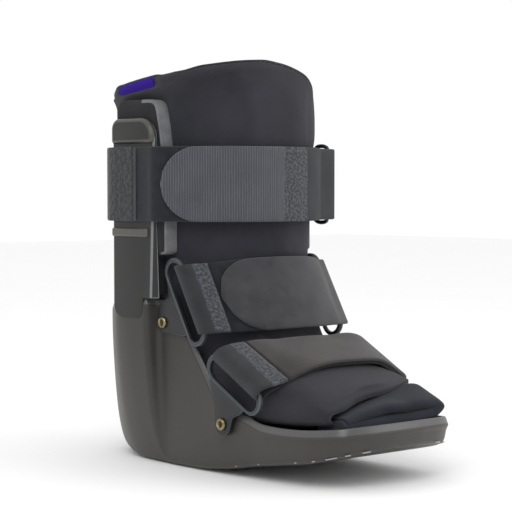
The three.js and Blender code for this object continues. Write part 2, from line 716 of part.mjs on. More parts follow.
// The point of a route at a given X, between its two neighbours.
function onRoute(route, x) {
  for (let i = 1; i < route.length; i++) {
    const [a, b] = [route[i - 1], route[i]];
    if ((a[0] - x) * (b[0] - x) <= 0) {
      const share = (x - a[0]) / (b[0] - a[0]);
      return [x, THREE.MathUtils.lerp(a[1], b[1], share)];
    }
  }
  throw new Error("the route does not reach x = " + x);
}

const UPRIGHT_FACE = UPRIGHT.outside + CLOTH.reach + STRAP.thickness / 2;

function topStrapGeometry() {
  const [barX, barY] = RING.front;
  const farHalf = TOP.shin.slice(0, -1);
  const nearHalf = [...TOP.shin].reverse().map(([x, y]) => [-x, y]).slice(0, -1);
  const alongUpright = [UPRIGHT.rear - 6, 55, 38].map((y) => [-UPRIGHT_FACE, y]);
  const onUpright = [...alongUpright, [-70.9, 34], [-69.8, 30.4]];
  const base = [...onUpright, ...nearHalf, ...farHalf];
  const turn = RING.wire + 2 * CLOTH.reach + STRAP.thickness / 2;
  const fold = [[-0.67, 0.74], [0.2, 1], [0.94, 0.34], [0.67, -0.74]]
    .map(([x, y]) => [barX + x * turn, barY + y * turn]);
  const cover = offsetRoute([...nearHalf, ...farHalf], -LAYER).reverse();
  const route = [...base, ...fold, ...cover, TOP.freeEnd];
  const middleZ = TOP.bottom + STRAP.width / 2;
  const points = route.map(([x, y]) => new THREE.Vector3(x, y, middleZ));
  const up = new THREE.Vector3(0, 0, 1);
  return strapGeometry(stations(points, 8, 20), () => up, STRAP.width - 1, STRAP.thickness, true);
}

function topStrapBackGeometry() {
  const [barX, barY] = RING.rear;
  const turn = RING.wire + 2 * CLOTH.reach + STRAP.thickness / 2;
  const second = UPRIGHT_FACE + LAYER;
  const backHalf = [[62.5, 91], [48.5, 108.8], [33.5, 121.5], [16, 128.6], [0, 130.2]];
  const nearBack = backHalf.map(([x, y]) => [-x, y]);
  const loop = [[turn, 3], [turn, 0], [0.2, -turn], [-turn, -0.4], [-turn + 0.4, 3.4]]
    .map(([x, y]) => [barX + x, barY + y]);
  const route = [[-second, TOP.tabFront], [-second, 62], [-second, 71], [-71.6, 79.6], ...nearBack,
    ...backHalf.slice(0, -1).reverse(), [70.9, 81], [UPRIGHT_FACE, 74], [UPRIGHT_FACE, 56],
    [UPRIGHT_FACE + 0.6, 42], ...loop];
  const points = route.map(([x, y]) => new THREE.Vector3(x, y, TOP.bottom + STRAP.width / 2));
  const up = new THREE.Vector3(0, 0, 1);
  return strapGeometry(stations(points, 8), () => up, STRAP.width - 1, STRAP.thickness, false);
}

const MATERIALS = {
  shell: { color: 0x45453f, roughness: 0.45, metalness: 0 },
  plate: { color: 0x3a3b3d, roughness: 0.4, metalness: 0 },
  cloth: { color: 0x26262c, roughness: 0.95, metalness: 0 },
  foam: { color: 0x7d7d80, roughness: 0.9, metalness: 0 },
  webbing: { color: 0x47474c, roughness: 0.85, metalness: 0 },
  brass: { color: 0xa08a58, roughness: 0.35, metalness: 1 },
  purple: { color: 0x43208c, roughness: 0.6, metalness: 0 },
};

const boot = new THREE.Group();

function add(name, geometry, finish) {
  const mesh = new THREE.Mesh(geometry, new THREE.MeshStandardMaterial(MATERIALS[finish]));
  mesh.name = name;
  boot.add(mesh);
}

// Adds a piece modelled on the +X side and its mirror image on the -X side.
function addPair(name, geometry, finish) {
  add(name + "_right", geometry, finish);
  add(name + "_left", mirrorGeometry(geometry), finish);
}

add("boot_shell", shellGeometry(), "shell");
add("liner", linerGeometry(), "cloth");
add("front_flap", flapGeometry(), "cloth");
add("toe_fold", toeFoldGeometry(), "cloth");
add("label_tab", tabGeometry(), "purple");
addPair("side_pad", padGeometry(), "foam");
addPair("mid_plate", plateGeometry(MID), "plate");
addPair("foot_plate", plateGeometry(FOOT), "plate");
addPair("rivet_mid", rivetGeometry(MID, 56.2), "brass");
addPair("rivet_foot", rivetGeometry(FOOT, 57.2), "brass");
add("mid_strap", slottedStrapGeometry(MID), "webbing");
add("foot_strap", slottedStrapGeometry(FOOT), "webbing");
add("top_strap", topStrapGeometry(), "webbing");
add("top_strap_back", topStrapBackGeometry(), "webbing");
add("top_ring", ringGeometry(), "plate");

// The part's origin is the middle of its footprint, on the floor.
const box = new THREE.Box3().setFromObject(boot);
const centre = box.getCenter(new THREE.Vector3());
boot.position.set(-centre.x, -centre.y, -box.min.z);

export default boot;
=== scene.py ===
"""A medical walking boot: a hard rocker shell, a padded cloth boot and three hook-and-loop straps."""

import logging
import math
from dataclasses import dataclass, field
from enum import Enum
from typing import Callable, NamedTuple, Sequence

import bmesh
import bpy
import numpy as np
from mathutils import Matrix, Vector
from mathutils.bvhtree import BVHTree


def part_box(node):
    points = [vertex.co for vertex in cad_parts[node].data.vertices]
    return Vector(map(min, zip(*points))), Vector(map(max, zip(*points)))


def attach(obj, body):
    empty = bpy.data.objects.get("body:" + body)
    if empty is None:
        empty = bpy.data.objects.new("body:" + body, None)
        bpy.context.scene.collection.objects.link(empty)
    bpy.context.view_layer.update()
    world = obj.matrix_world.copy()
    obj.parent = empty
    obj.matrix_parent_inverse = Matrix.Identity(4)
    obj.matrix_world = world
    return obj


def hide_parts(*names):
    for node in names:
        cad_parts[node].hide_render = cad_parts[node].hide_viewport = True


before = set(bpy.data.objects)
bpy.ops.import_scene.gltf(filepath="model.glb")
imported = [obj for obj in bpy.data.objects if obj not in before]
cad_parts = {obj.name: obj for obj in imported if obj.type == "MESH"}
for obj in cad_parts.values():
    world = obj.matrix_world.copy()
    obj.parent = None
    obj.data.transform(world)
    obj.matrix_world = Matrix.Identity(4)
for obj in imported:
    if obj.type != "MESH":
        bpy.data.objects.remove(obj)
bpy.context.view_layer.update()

log = logging.getLogger("walking_boot")
MM = 0.001
SHELL_REAR = 131.5
SHARP = math.radians(50)
Point = tuple[float, float, float]
Pair = tuple[float, float]


class Slot(Enum):
    """The record's material slots."""

    SHELL = "shell"
    PLATE = "plate"
    CLOTH = "cloth"
    FOAM = "foam"
    WEBBING = "webbing"
    BRASS = "brass"
    PURPLE = "purple"


class Side(Enum):
    """The two sides of the boot, as the sign of X."""

    LEFT = -1
    RIGHT = 1


class Coordinates(Enum):
    """What a pattern follows: the piece's own flat cloth map, or the piece in space."""

    FLAT = "UV"
    SPACE = "Object"


# Frame and small sums


def origin() -> Vector:
    """Returns the place of the drawing's origin in the part's frame, in metres."""
    low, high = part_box("boot_shell")
    return Vector(((low.x + high.x) / 2, high.y - SHELL_REAR * MM, 0.0))


ORIGIN = origin()


def placed(x: float, y: float, z: float) -> Vector:
    """Returns a point of the drawing, in millimetres, as a point of the part's frame."""
    return Vector((x * MM, y * MM, z * MM)) + ORIGIN


def ease(value: float, start: float, end: float) -> float:
    """Returns the rounded step from 0 to 1 between two values, either way round."""
    share = min(max((value - start) / (end - start), 0.0), 1.0)
    return share * share * (3 - 2 * share)


def mix(a: float, b: float, share: float) -> float:
    """Returns the value between a and b at a share."""
    return a + (b - a) * share


def bump(value: float, middle: float, width: float) -> float:
    """Returns a soft hill of height 1 round a middle."""
    return math.exp(-(((value - middle) / width) ** 2))


def hermite(t: float, start: object, end: object, slope_in: object, slope_out: object) -> object:
    """Finds a value on a smooth curve between two values.

    Args:
        t: the share of the way, from 0 to 1.
        start: the value at 0, a number or an array.
        end: the value at 1.
        slope_in: the slope at 0.
        slope_out: the slope at 1.

    Returns:
        The value at t.
    """
    t2, t3 = t * t, t * t * t
    ends = (2 * t3 - 3 * t2 + 1) * start + (3 * t2 - 2 * t3) * end
    return ends + (t3 - 2 * t2 + t) * slope_in + (t3 - t2) * slope_out


def row_at(table: np.ndarray, place: float) -> tuple[int, float]:
    """Returns the row before a place in a table, and the share of the way to the next one."""
    row = min(max(int(math.floor(place)), 0), len(table) - 2)
    return row, place - row


def smooth_row(table: np.ndarray, place: float) -> np.ndarray:
    """Reads a table between its rows on a smooth curve through them.

    Args:
        table: the rows.
        place: the row number, with a fraction.

    Returns:
        The values at that place.
    """
    last = len(table) - 1
    row, t = row_at(table, place)
    before, start, end, after = (table[min(max(i, 0), last)] for i in range(row - 1, row + 3))
    return hermite(t, start, end, (end - before) / 2, (after - start) / 2)


def steady_row(table: np.ndarray, place: float) -> np.ndarray:
    """Reads a table between its rows without passing beyond them.

    Args:
        table: the rows.
        place: the row number, with a fraction.

    Returns:
        The values at that place.
    """
    row, t = row_at(table, place)
    steps = np.diff(table, axis=0)

    def slope(i: int) -> np.ndarray:
        """Works out the steady slope at a row.

        Args:
            i: the row.

        Returns:
            The slope of each column.
        """
        before, after = steps[max(i - 1, 0)], steps[min(i, len(steps) - 1)]
        same = before * after > 0
        return np.where(same, 2 * before * after / np.where(same, before + after, 1.0), 0.0)

    return hermite(t, table[row], table[row + 1], slope(row), slope(row + 1))


# Node graphs


class Graph:
    """Adds nodes to a shader tree and links them."""

    def __init__(self, tree: bpy.types.NodeTree) -> None:
        """Keeps the tree."""
        self.tree = tree

    def feed(self, node: bpy.types.Node, inputs: dict) -> None:
        """Fills a node's inputs.

        Args:
            node: the node.
            inputs: values or output sockets by input name or number.
        """
        for name, value in inputs.items():
            if isinstance(value, bpy.types.NodeSocket):
                self.tree.links.new(value, node.inputs[name])
            else:
                node.inputs[name].default_value = value

    def add(self, kind: str, inputs: dict | None = None, **settings: object) -> bpy.types.Node:
        """Adds a node.

        Args:
            kind: the node's type name, without its first words.
            inputs: values or output sockets by input name or number.
            settings: the node's own properties.

        Returns:
            The new node.
        """
        node = self.tree.nodes.new("ShaderNode" + kind)
        for name, value in settings.items():
            setattr(node, name, value)
        self.feed(node, inputs or {})
        return node

    def group(self, tree: bpy.types.NodeTree, inputs: dict) -> bpy.types.Node:
        """Adds a node of a shared group.

        Args:
            tree: the group.
            inputs: values or sockets by input name.

        Returns:
            The new node.
        """
        node = self.add("Group", node_tree=tree)
        self.feed(node, inputs)
        return node

    def math(self, operation: str, *values: object) -> bpy.types.NodeSocket:
        """Returns the result of a sum on values or sockets."""
        return self.add("Math", dict(enumerate(values)), operation=operation).outputs[0]

    def blend(self, share: object, a: object, b: object) -> bpy.types.NodeSocket:
        """Returns a colour between a and b."""
        return self.add("Mix", {0: share, 6: a, 7: b}, data_type="RGBA").outputs[2]

    def range(self, value: object, given: Pair, wanted: Pair = (0.0, 1.0)) -> bpy.types.NodeSocket:
        """Returns a value moved from one range to another and kept within it."""
        names = ("Value", "From Min", "From Max", "To Min", "To Max")
        return self.add("MapRange", dict(zip(names, (value, *given, *wanted)))).outputs[0]

    def noise(self, vector: object, scale: object, detail: float, roughness: float) -> bpy.types.NodeSocket:
        """Returns the strength of a noise."""
        names = ("Vector", "Scale", "Detail", "Roughness")
        return self.add("TexNoise", dict(zip(names, (vector, scale, detail, roughness)))).outputs["Fac"]

    def dress(
        self,
        shader: bpy.types.Node,
        inputs: dict,
        height: object,
        depth: float,
        strength: float,
    ) -> None:
        """Fills a shader's inputs and gives it a relief.

        Args:
            shader: the shader node.
            inputs: its values or sockets by input name.
            height: the relief's height.
            depth: the relief's distance in metres.
            strength: the relief's strength.
        """
        relief = self.add("Bump", {"Height": height, "Distance": depth, "Strength": strength})
        self.feed(shader, {**inputs, "Normal": relief.outputs["Normal"]})


def new_group(
    name: str,
    inputs: Sequence[tuple[str, str, object]],
    outputs: Sequence[str],
) -> tuple[Graph, dict]:
    """Starts a shader group.

    Args:
        name: the group's name.
        inputs: name, socket type and default of each input.
        outputs: the names of the outputs, all of them numbers.

    Returns:
        The group's graph and its input sockets by name, with the output node under "out".
    """
    tree = bpy.data.node_groups.new(name, "ShaderNodeTree")
    for label, kind, default in inputs:
        socket = tree.interface.new_socket(label, in_out="INPUT", socket_type="NodeSocket" + kind)
        if default is not None:
            socket.default_value = default
    for label in outputs:
        tree.interface.new_socket(label, in_out="OUTPUT", socket_type="NodeSocketFloat")
    start = tree.nodes.new("NodeGroupInput")
    end = tree.nodes.new("NodeGroupOutput")
    sockets = {socket.name: socket for socket in start.outputs if socket.name}
    return Graph(tree), {**sockets, "out": end}


def weave_group() -> bpy.types.NodeTree:
    """Makes the group of crossing threads.

    Returns:
        The group, with the height of the threads.
    """
    inputs = [("Vector", "Vector", None), ("Threads", "Float", 900.0), ("Slack", "Float", 1.0)]
    graph, pins = new_group("crossing_threads", inputs, ["Height"])
    wave_inputs = {"Vector": pins["Vector"], "Scale": pins["Threads"]}
    wave_inputs |= {"Distortion": pins["Slack"], "Detail": 1.0}
    bands = [
        graph.add("TexWave", wave_inputs, wave_type="BANDS", bands_direction=direction).outputs["Fac"]
        for direction in ("X", "Y")
    ]
    graph.feed(pins["out"], {"Height": graph.math("MULTIPLY", graph.math("ADD", *bands), 0.5)})
    return graph.tree


def pile_group() -> bpy.types.NodeTree:
    """Makes the group of brushed pile.

    Returns:
        The group, with the height of the fibres and the slow change of tone over the cloth.
    """
    inputs = [("Vector", "Vector", None), ("Fibres", "Float", 1800.0), ("Patches", "Float", 45.0)]
    graph, pins = new_group("brushed_pile", inputs, ["Height", "Tone"])
    fine = graph.noise(pins["Vector"], pins["Fibres"], 3.0, 0.65)
    slow = graph.noise(pins["Vector"], pins["Patches"], 4.0, 0.55)
    graph.feed(pins["out"], {"Height": fine, "Tone": graph.range(slow, (0.3, 0.7))})
    return graph.tree


def grain_group() -> bpy.types.NodeTree:
    """Makes the group of moulded plastic grain.

    Returns:
        The group, with the height of the grain, the slow tone and the convex edges, which carry rubbed wear
        and a painted highlight.
    """
    inputs = [("Vector", "Vector", None), ("Grain", "Float", 1500.0), ("Patches", "Float", 14.0)]
    graph, pins = new_group("moulded_grain", inputs, ["Height", "Tone", "EdgeWearAndHighlight"])
    fine = graph.noise(pins["Vector"], pins["Grain"], 2.0, 0.5)
    slow = graph.noise(pins["Vector"], pins["Patches"], 5.0, 0.6)
    # Convex edges found by pointiness: rubbed wear and a painted highlight.
    edge_wear_and_highlight = graph.range(graph.add("NewGeometry").outputs["Pointiness"], (0.52, 0.6))
    broken = graph.math("MULTIPLY", edge_wear_and_highlight, graph.range(slow, (0.25, 0.6), (0.55, 1.0)))
    graph.feed(pins["out"], {"Height": fine, "Tone": graph.range(slow, (0.3, 0.7)), "EdgeWearAndHighlight": broken})
    return graph.tree


@dataclass
class Groups:
    """The shader groups that several finishes share."""

    weave: bpy.types.NodeTree = field(default_factory=weave_group)
    pile: bpy.types.NodeTree = field(default_factory=pile_group)
    grain: bpy.types.NodeTree = field(default_factory=grain_group)


GROUPS = Groups()
BLACK = (0.0, 0.0, 0.0, 1.0)


def new_material(name: str) -> tuple[bpy.types.Material, Graph, bpy.types.Node]:
    """Starts a material.

    Args:
        name: the material's name.

    Returns:
        The material, its graph and its shader node.
    """
    material = bpy.data.materials.new(name)
    material.use_nodes = True
    shader = material.node_tree.nodes["Principled BSDF"]
    return material, Graph(material.node_tree), shader


def shade(color: Sequence[float], factor: float = 1.0) -> tuple[float, float, float, float]:
    """Returns a screen colour, 0 to 255, as a linear colour made lighter or darker."""
    linear = [((c / 255 + 0.055) / 1.055) ** 2.4 if c > 10 else c / 255 / 12.92 for c in color]
    return (*[min(c * factor, 1.0) for c in linear], 1.0)


@dataclass(frozen=True)
class PlasticFinish:
    """Moulded plastic with fine grain, slow tone and paler convex edges, which are rubbed wear and a painted
    highlight.

    The colour changes from the low colour to color between the two given heights, in metres: painted light,
    paler low down and darker higher up.
    """

    name: str
    color: tuple[int, int, int]
    # edge: the pale colour of convex edges, rubbed wear and a painted highlight.
    edge: tuple[int, int, int]
    painted_low_color: tuple[int, int, int] | None = None
    roughness: float = 0.42
    specular: float = 0.34
    grain_depth: float = 0.00012
    painted_shade_heights: Pair = (0.03, 0.2)

    def build(self) -> bpy.types.Material:
        """Builds the material.

        Returns:
            The material.
        """
        material, graph, shader = new_material(self.name)
        where = graph.add("TexCoord").outputs["Object"]
        grain = graph.group(GROUPS.grain, {"Vector": where}).outputs
        height = graph.add("SeparateXYZ", {0: where}).outputs["Z"]
        # Painted shade: the plastic darkens with height in the object and is paler low down.
        rise = graph.range(height, self.painted_shade_heights)
        low, high = self.painted_low_color or self.color, self.color
        dull = graph.blend(rise, shade(low, 0.84), shade(high, 0.84))
        pale = graph.blend(rise, shade(low, 1.16), shade(high, 1.16))
        # Convex edges take the edge colour: rubbed wear and a painted highlight.
        color = graph.blend(grain["EdgeWearAndHighlight"], graph.blend(grain["Tone"], dull, pale), shade(self.edge))
        roughness = graph.range(grain["Tone"], (0.0, 1.0), (self.roughness - 0.06, self.roughness + 0.08))
        inputs = {"Base Color": color, "Roughness": roughness, "Specular IOR Level": self.specular}
        graph.dress(shader, inputs, grain["Height"], self.grain_depth, 0.5)
        return material


@dataclass(frozen=True)
class ClothFinish:
    """Brushed cloth: pile over a weave, with a slow change of tone and a soft sheen."""

    name: str
    color: tuple[int, int, int]
    worn: tuple[int, int, int]
    threads: float = 900.0
    fibres: float = 1800.0
    patches: float = 45.0
    weave_share: float = 0.35
    depth: float = 0.0004
    sheen: float = 0.25
    coordinates: Coordinates = Coordinates.FLAT

    def build(self) -> bpy.types.Material:
        """Builds the material.

        Returns:
            The material.
        """
        material, graph, shader = new_material(self.name)
        where = graph.add("TexCoord").outputs[self.coordinates.value]
        inputs = {"Vector": where, "Fibres": self.fibres, "Patches": self.patches}
        pile = graph.group(GROUPS.pile, inputs).outputs
        weave = graph.group(GROUPS.weave, {"Vector": where, "Threads": self.threads}).outputs
        tone = graph.blend(pile["Tone"], shade(self.color), shade(self.worn))
        fleck = graph.math("MULTIPLY", graph.range(pile["Height"], (0.35, 0.7)), 0.6)
        threads = graph.math("MULTIPLY", weave["Height"], self.weave_share)
        fibres = graph.math("MULTIPLY", pile["Height"], 1 - self.weave_share)
        inputs = {
            "Base Color": graph.blend(fleck, graph.blend(0.35, tone, BLACK), tone),
            "Roughness": 0.92,
            "Specular IOR Level": 0.25,
            "Sheen Weight": self.sheen,
            "Sheen Roughness": 0.6,
        }
        graph.dress(shader, inputs, graph.math("ADD", threads, fibres), self.depth, 0.8)
        return material


@dataclass(frozen=True)
class RibbedFinish:
    """The hook tab: fine ribs across the strap, each a little uneven, with painted shade in the grooves
    between them.
    """

    name: str
    color: tuple[int, int, int]
    groove_shade: tuple[int, int, int]
    ribs: float = 190.0

    def build(self) -> bpy.types.Material:
        """Builds the material.

        Returns:
            The material.
        """
        material, graph, shader = new_material(self.name)
        where = graph.add("TexCoord").outputs["UV"]
        pile = graph.group(GROUPS.pile, {"Vector": where}).outputs
        long_way = graph.add("Mapping", {"Vector": where, "Scale": (1.0, 0.12, 1.0)}).outputs[0]
        inputs = {"Vector": long_way, "Scale": self.ribs, "Distortion": 1.6}
        inputs |= {"Detail": 2.0, "Detail Scale": 3.0}
        wave = graph.add("TexWave", inputs, wave_type="BANDS", bands_direction="X").outputs["Fac"]
        rib = graph.range(wave, (0.2, 0.8))
        uneven = graph.math("MULTIPLY", rib, graph.range(pile["Tone"], (0.0, 1.0), (0.35, 1.0)))
        # Painted shade: the grooves between the ribs take the darker colour.
        color = graph.blend(uneven, shade(self.groove_shade), shade(self.color))
        height = graph.math("ADD", rib, graph.math("MULTIPLY", pile["Height"], 0.7))
        inputs = {"Base Color": color, "Roughness": 0.85, "Sheen Weight": 0.2}
        graph.dress(shader, inputs, height, 0.0004, 0.7)
        return material


@dataclass(frozen=True)
class SewnFinish:
    """A sewn stretch of strap: pressed, mottled pile between rows of stitches."""

    name: str
    color: tuple[int, int, int]
    dark: tuple[int, int, int]
    cells: float = 420.0

    def build(self) -> bpy.types.Material:
        """Builds the material.

        Returns:
            The material.
        """
        material, graph, shader = new_material(self.name)
        where = graph.add("TexCoord").outputs["UV"]
        pile = graph.group(GROUPS.pile, {"Vector": where, "Patches": self.cells * 1.2}).outputs
        cells = graph.add("TexVoronoi", {"Vector": where, "Scale": self.cells, "Randomness": 1.0})
        holes = graph.math("MULTIPLY", graph.range(cells.outputs["Distance"], (0.12, 0.42), (1.0, 0.0)), 0.8)
        blotches = graph.math("MULTIPLY", graph.range(pile["Tone"], (0.32, 0.62)), 0.75)
        spots = graph.math("MAXIMUM", holes, blotches)
        color = graph.blend(spots, shade(self.color), shade(self.dark))
        height = graph.math("SUBTRACT", graph.math("MULTIPLY", pile["Height"], 0.6), spots)
        inputs = {"Base Color": color, "Roughness": 0.9, "Sheen Weight": 0.15}
        graph.dress(shader, inputs, height, 0.0005, 0.8)
        return material


@dataclass(frozen=True)
class MetalFinish:
    """Satin brass with fine scratches and darker hollows."""

    name: str
    color: tuple[int, int, int]
    tarnish: tuple[int, int, int]

    def build(self) -> bpy.types.Material:
        """Builds the material.

        Returns:
            The material.
        """
        material, graph, shader = new_material(self.name)
        where = graph.add("TexCoord").outputs["Object"]
        grain = graph.group(GROUPS.grain, {"Vector": where, "Patches": 300.0}).outputs
        inputs = {
            "Base Color": graph.blend(grain["Tone"], shade(self.tarnish), shade(self.color)),
            "Metallic": 1.0,
            "Roughness": graph.range(grain["Tone"], (0.0, 1.0), (0.42, 0.24)),
        }
        graph.dress(shader, inputs, grain["Height"], 0.00005, 0.4)
        return material


@dataclass(frozen=True)
class FloorFinish:
    """The pale studio floor."""

    name: str = "pale_floor"

    def build(self) -> bpy.types.Material:
        """Builds the material.

        Returns:
            The material.
        """
        material, graph, shader = new_material(self.name)
        noise = graph.noise(graph.add("TexCoord").outputs["Object"], 6.0, 2.0, 0.5)
        color = graph.blend(noise, (0.93, 0.93, 0.93, 1.0), (0.95, 0.95, 0.95, 1.0))
        graph.feed(shader, {"Base Color": color, "Roughness": 0.9})
        return material


# The paler low colours of these plastics are painted light, not a real change of colour.
SHELL_PLASTIC = PlasticFinish("shell_plastic", (27, 27, 26), (62, 63, 61), (60, 57, 54), 0.38)
# Painted highlight: the paler band along the top of the shell's rim.
RIM_HIGHLIGHT_PLASTIC = PlasticFinish("rim_highlight_plastic", (66, 71, 73), (116, 122, 124), (76, 75, 76), 0.3, 0.5)
# Painted highlight: the pale lines on the blades' front edges and on the tread ribs.
EDGE_HIGHLIGHT_PLASTIC = PlasticFinish("edge_highlight_plastic", (92, 98, 100), (150, 156, 158), (104, 106, 106), 0.26, 0.5)
# Painted light: the lips are a paler, lit copy of the upright's plastic.
LIT_LIP_PLASTIC = PlasticFinish("lit_lip_plastic", (56, 54, 49), (104, 100, 92), None, 0.3, 0.5)
# Painted highlight: the rounded edges of the uprights' heads.
HEAD_HIGHLIGHT_PLASTIC = PlasticFinish("head_highlight_plastic", (52, 51, 47), (92, 90, 86), None, 0.3, 0.5)
UPRIGHT_PLASTIC = PlasticFinish("upright_plastic", (30, 29, 28), (54, 53, 51), (32, 31, 30), 0.38)
PLATE_PLASTIC = PlasticFinish("plate_plastic", (31, 32, 34), (84, 88, 92), roughness=0.34)
# Painted highlight: the rounded edges of the plates.
PLATE_EDGE_HIGHLIGHT = PlasticFinish("plate_edge_highlight", (52, 57, 60), (104, 110, 114), roughness=0.28)
RING_PLASTIC = PlasticFinish("ring_plastic", (20, 20, 22), (60, 60, 64), roughness=0.32)
BOOT_CLOTH = ClothFinish("boot_cloth", (33, 34, 42), (50, 50, 59), patches=22.0, sheen=0.1)
LINER_CLOTH = ClothFinish("liner_cloth", (30, 30, 37), (44, 44, 52), patches=26.0, sheen=0.08)
TOE_CLOTH = ClothFinish("toe_cloth", (27, 29, 40), (39, 41, 54), patches=40.0, sheen=0.08)
PAD_CLOTH = ClothFinish(
    "pad_cloth", (26, 26, 30), (38, 38, 43), sheen=0.06, coordinates=Coordinates.SPACE
)
FOAM_EDGE = ClothFinish(
    "foam_edge",
    (108, 109, 111),
    (126, 127, 128),
    patches=160.0,
    sheen=0.1,
    coordinates=Coordinates.SPACE,
)
LOOP_CLOTH = ClothFinish(
    "loop_cloth", (44, 45, 49), (66, 66, 69), patches=55.0, weave_share=0.1, sheen=0.18
)
WORN_LOOP = ClothFinish(
    "worn_loop", (40, 37, 37), (62, 56, 54), patches=45.0, weave_share=0.1, sheen=0.18
)
DARK_LOOP = ClothFinish(
    "dark_loop", (20, 22, 28), (34, 36, 44), patches=150.0, weave_share=0.1, sheen=0.12
)
WEBBING_FOLD = ClothFinish(
    "webbing_fold", (34, 36, 40), (50, 53, 57), threads=700.0, weave_share=0.7, sheen=0.12
)
# The darker second colour of the hook tab is painted shade in its grooves.
HOOK_RIBS = RibbedFinish("hook_ribs", (82, 83, 91), (54, 55, 62))
SEWN_WEBBING = SewnFinish("sewn_webbing", (72, 75, 82), (22, 24, 29))
SEWN_TAB = SewnFinish("sewn_tab", (44, 46, 50), (18, 19, 23), cells=260.0)
# Painted highlight: the pale end face of the calf strap's tab.
TAB_END_HIGHLIGHT = ClothFinish("tab_end_highlight", (84, 88, 92), (100, 104, 108), sheen=0.1)
STITCH_THREAD = ClothFinish("stitch_thread", (54, 54, 62), (66, 66, 74), coordinates=Coordinates.SPACE)
RIVET_BRASS = MetalFinish("rivet_brass", (176, 164, 126), (84, 74, 54))
TAB_TAPE = ClothFinish(
    "tab_tape",
    (48, 8, 140),
    (62, 18, 172),
    threads=1400.0,
    weave_share=0.8,
    depth=0.0002,
    sheen=0.0,
)
PALE_FLOOR = FloorFinish()


class Wardrobe:
    """Builds each finish once and keeps its material."""

    def __init__(self) -> None:
        """Starts empty."""
        self.made: dict[str, bpy.types.Material] = {}

    def get(self, finish: object) -> bpy.types.Material:
        """Finds the material of a finish, and builds it the first time.

        Args:
            finish: the finish.

        Returns:
            The material.
        """
        if finish.name not in self.made:
            self.made[finish.name] = finish.build()
        return self.made[finish.name]


WARDROBE = Wardrobe()


# Pieces


def new_piece(
    name: str,
    bm: bmesh.types.BMesh,
    finishes: Sequence[object],
    smooth: bool = True,
) -> bpy.types.Object:
    """Makes an object from a bmesh and dresses it.

    Args:
        name: the piece's name.
        bm: the shape, in metres; it is freed.
        finishes: the finishes of the material slots, in order.
        smooth: whether faces are shaded smooth.

    Returns:
        The new object.
    """
    mesh = bpy.data.meshes.new(name)
    for face in bm.faces:
        face.smooth = smooth
    bm.to_mesh(mesh)
    bm.free()
    piece = bpy.data.objects.new(name, mesh)
    bpy.context.scene.collection.objects.link(piece)
    for finish in finishes:
        mesh.materials.append(WARDROBE.get(finish))
    return piece


def settle(piece: bpy.types.Object, slot: Slot, *nodes: str) -> None:
    """Lets a piece ride on the boot and stand for solids.

    Args:
        piece: the finished piece.
        slot: the record's slot; not used.
        nodes: the solids that it replaces.
    """
    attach(piece, "root")
    if nodes:
        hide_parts(*nodes)
    log.info("%s: %d faces", piece.name, len(piece.data.polygons))


def subdivide(piece: bpy.types.Object, levels: int) -> None:
    """Adds a subdivision surface."""
    modifier = piece.modifiers.new("smooth", "SUBSURF")
    modifier.levels = modifier.render_levels = levels


def copied_node(node: str) -> bmesh.types.BMesh:
    """Copies a solid's mesh, merged and with its flat faces joined.

    Args:
        node: the solid's name.

    Returns:
        The copy.
    """
    bm = bmesh.new()
    bm.from_mesh(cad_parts[node].data)
    bmesh.ops.remove_doubles(bm, verts=bm.verts, dist=0.00002)
    flat = math.radians(0.6)
    bmesh.ops.dissolve_limit(bm, angle_limit=flat, verts=bm.verts, edges=bm.edges)
    return bm


@dataclass
class Surface:
    """A net of points over two numbers, made from a flat grid.

    columns and rows are the values of the two numbers at the net's lines.
    """

    columns: Sequence[float]
    rows: Sequence[float]
    place: Callable[[float, float], Vector]
    flat: Callable[[float, float], Pair] | None = None
    zone: Callable[[float, float], int] | None = None

    def build(self, bm: bmesh.types.BMesh | None = None) -> bmesh.types.BMesh:
        """Adds the net to a bmesh.

        Args:
            bm: the bmesh to add to, or None for a new one.

        Returns:
            The bmesh.
        """
        bm = bm or bmesh.new()
        columns = list(self.columns)
        across, along = len(columns), len(self.rows)
        made = bmesh.ops.create_grid(bm, x_segments=across - 1, y_segments=along - 1, size=1.0)["verts"]
        layer = bm.loops.layers.uv.verify()
        numbers: dict[bmesh.types.BMVert, tuple[float, float]] = {}
        for vert in made:
            i = round((vert.co.x + 1) / 2 * (across - 1))
            j = round((vert.co.y + 1) / 2 * (along - 1))
            numbers[vert] = (columns[i], self.rows[j])
        faces = {face for vert in made for face in vert.link_faces}
        for face in faces:
            for loop in face.loops:
                u, v = numbers[loop.vert]
                loop[layer].uv = self.flat(u, v) if self.flat else (u * MM, v * MM)
            if self.zone:
                spots = [numbers[vert] for vert in face.verts]
                middle = [sum(values) / len(spots) for values in zip(*spots)]
                face.material_index = self.zone(*middle)
        for vert, (u, v) in numbers.items():
            vert.co = self.place(u, v)
        return bm


def closed(bm: bmesh.types.BMesh, distance: float = 0.00001) -> bmesh.types.BMesh:
    """Merges a shape's seams and turns its faces outward.

    Args:
        bm: the shape.
        distance: the merge distance in metres.

    Returns:
        The same bmesh.
    """
    bmesh.ops.remove_doubles(bm, verts=bm.verts, dist=distance)
    bmesh.ops.dissolve_degenerate(bm, edges=bm.edges, dist=distance)
    bmesh.ops.recalc_face_normals(bm, faces=bm.faces)
    return bm


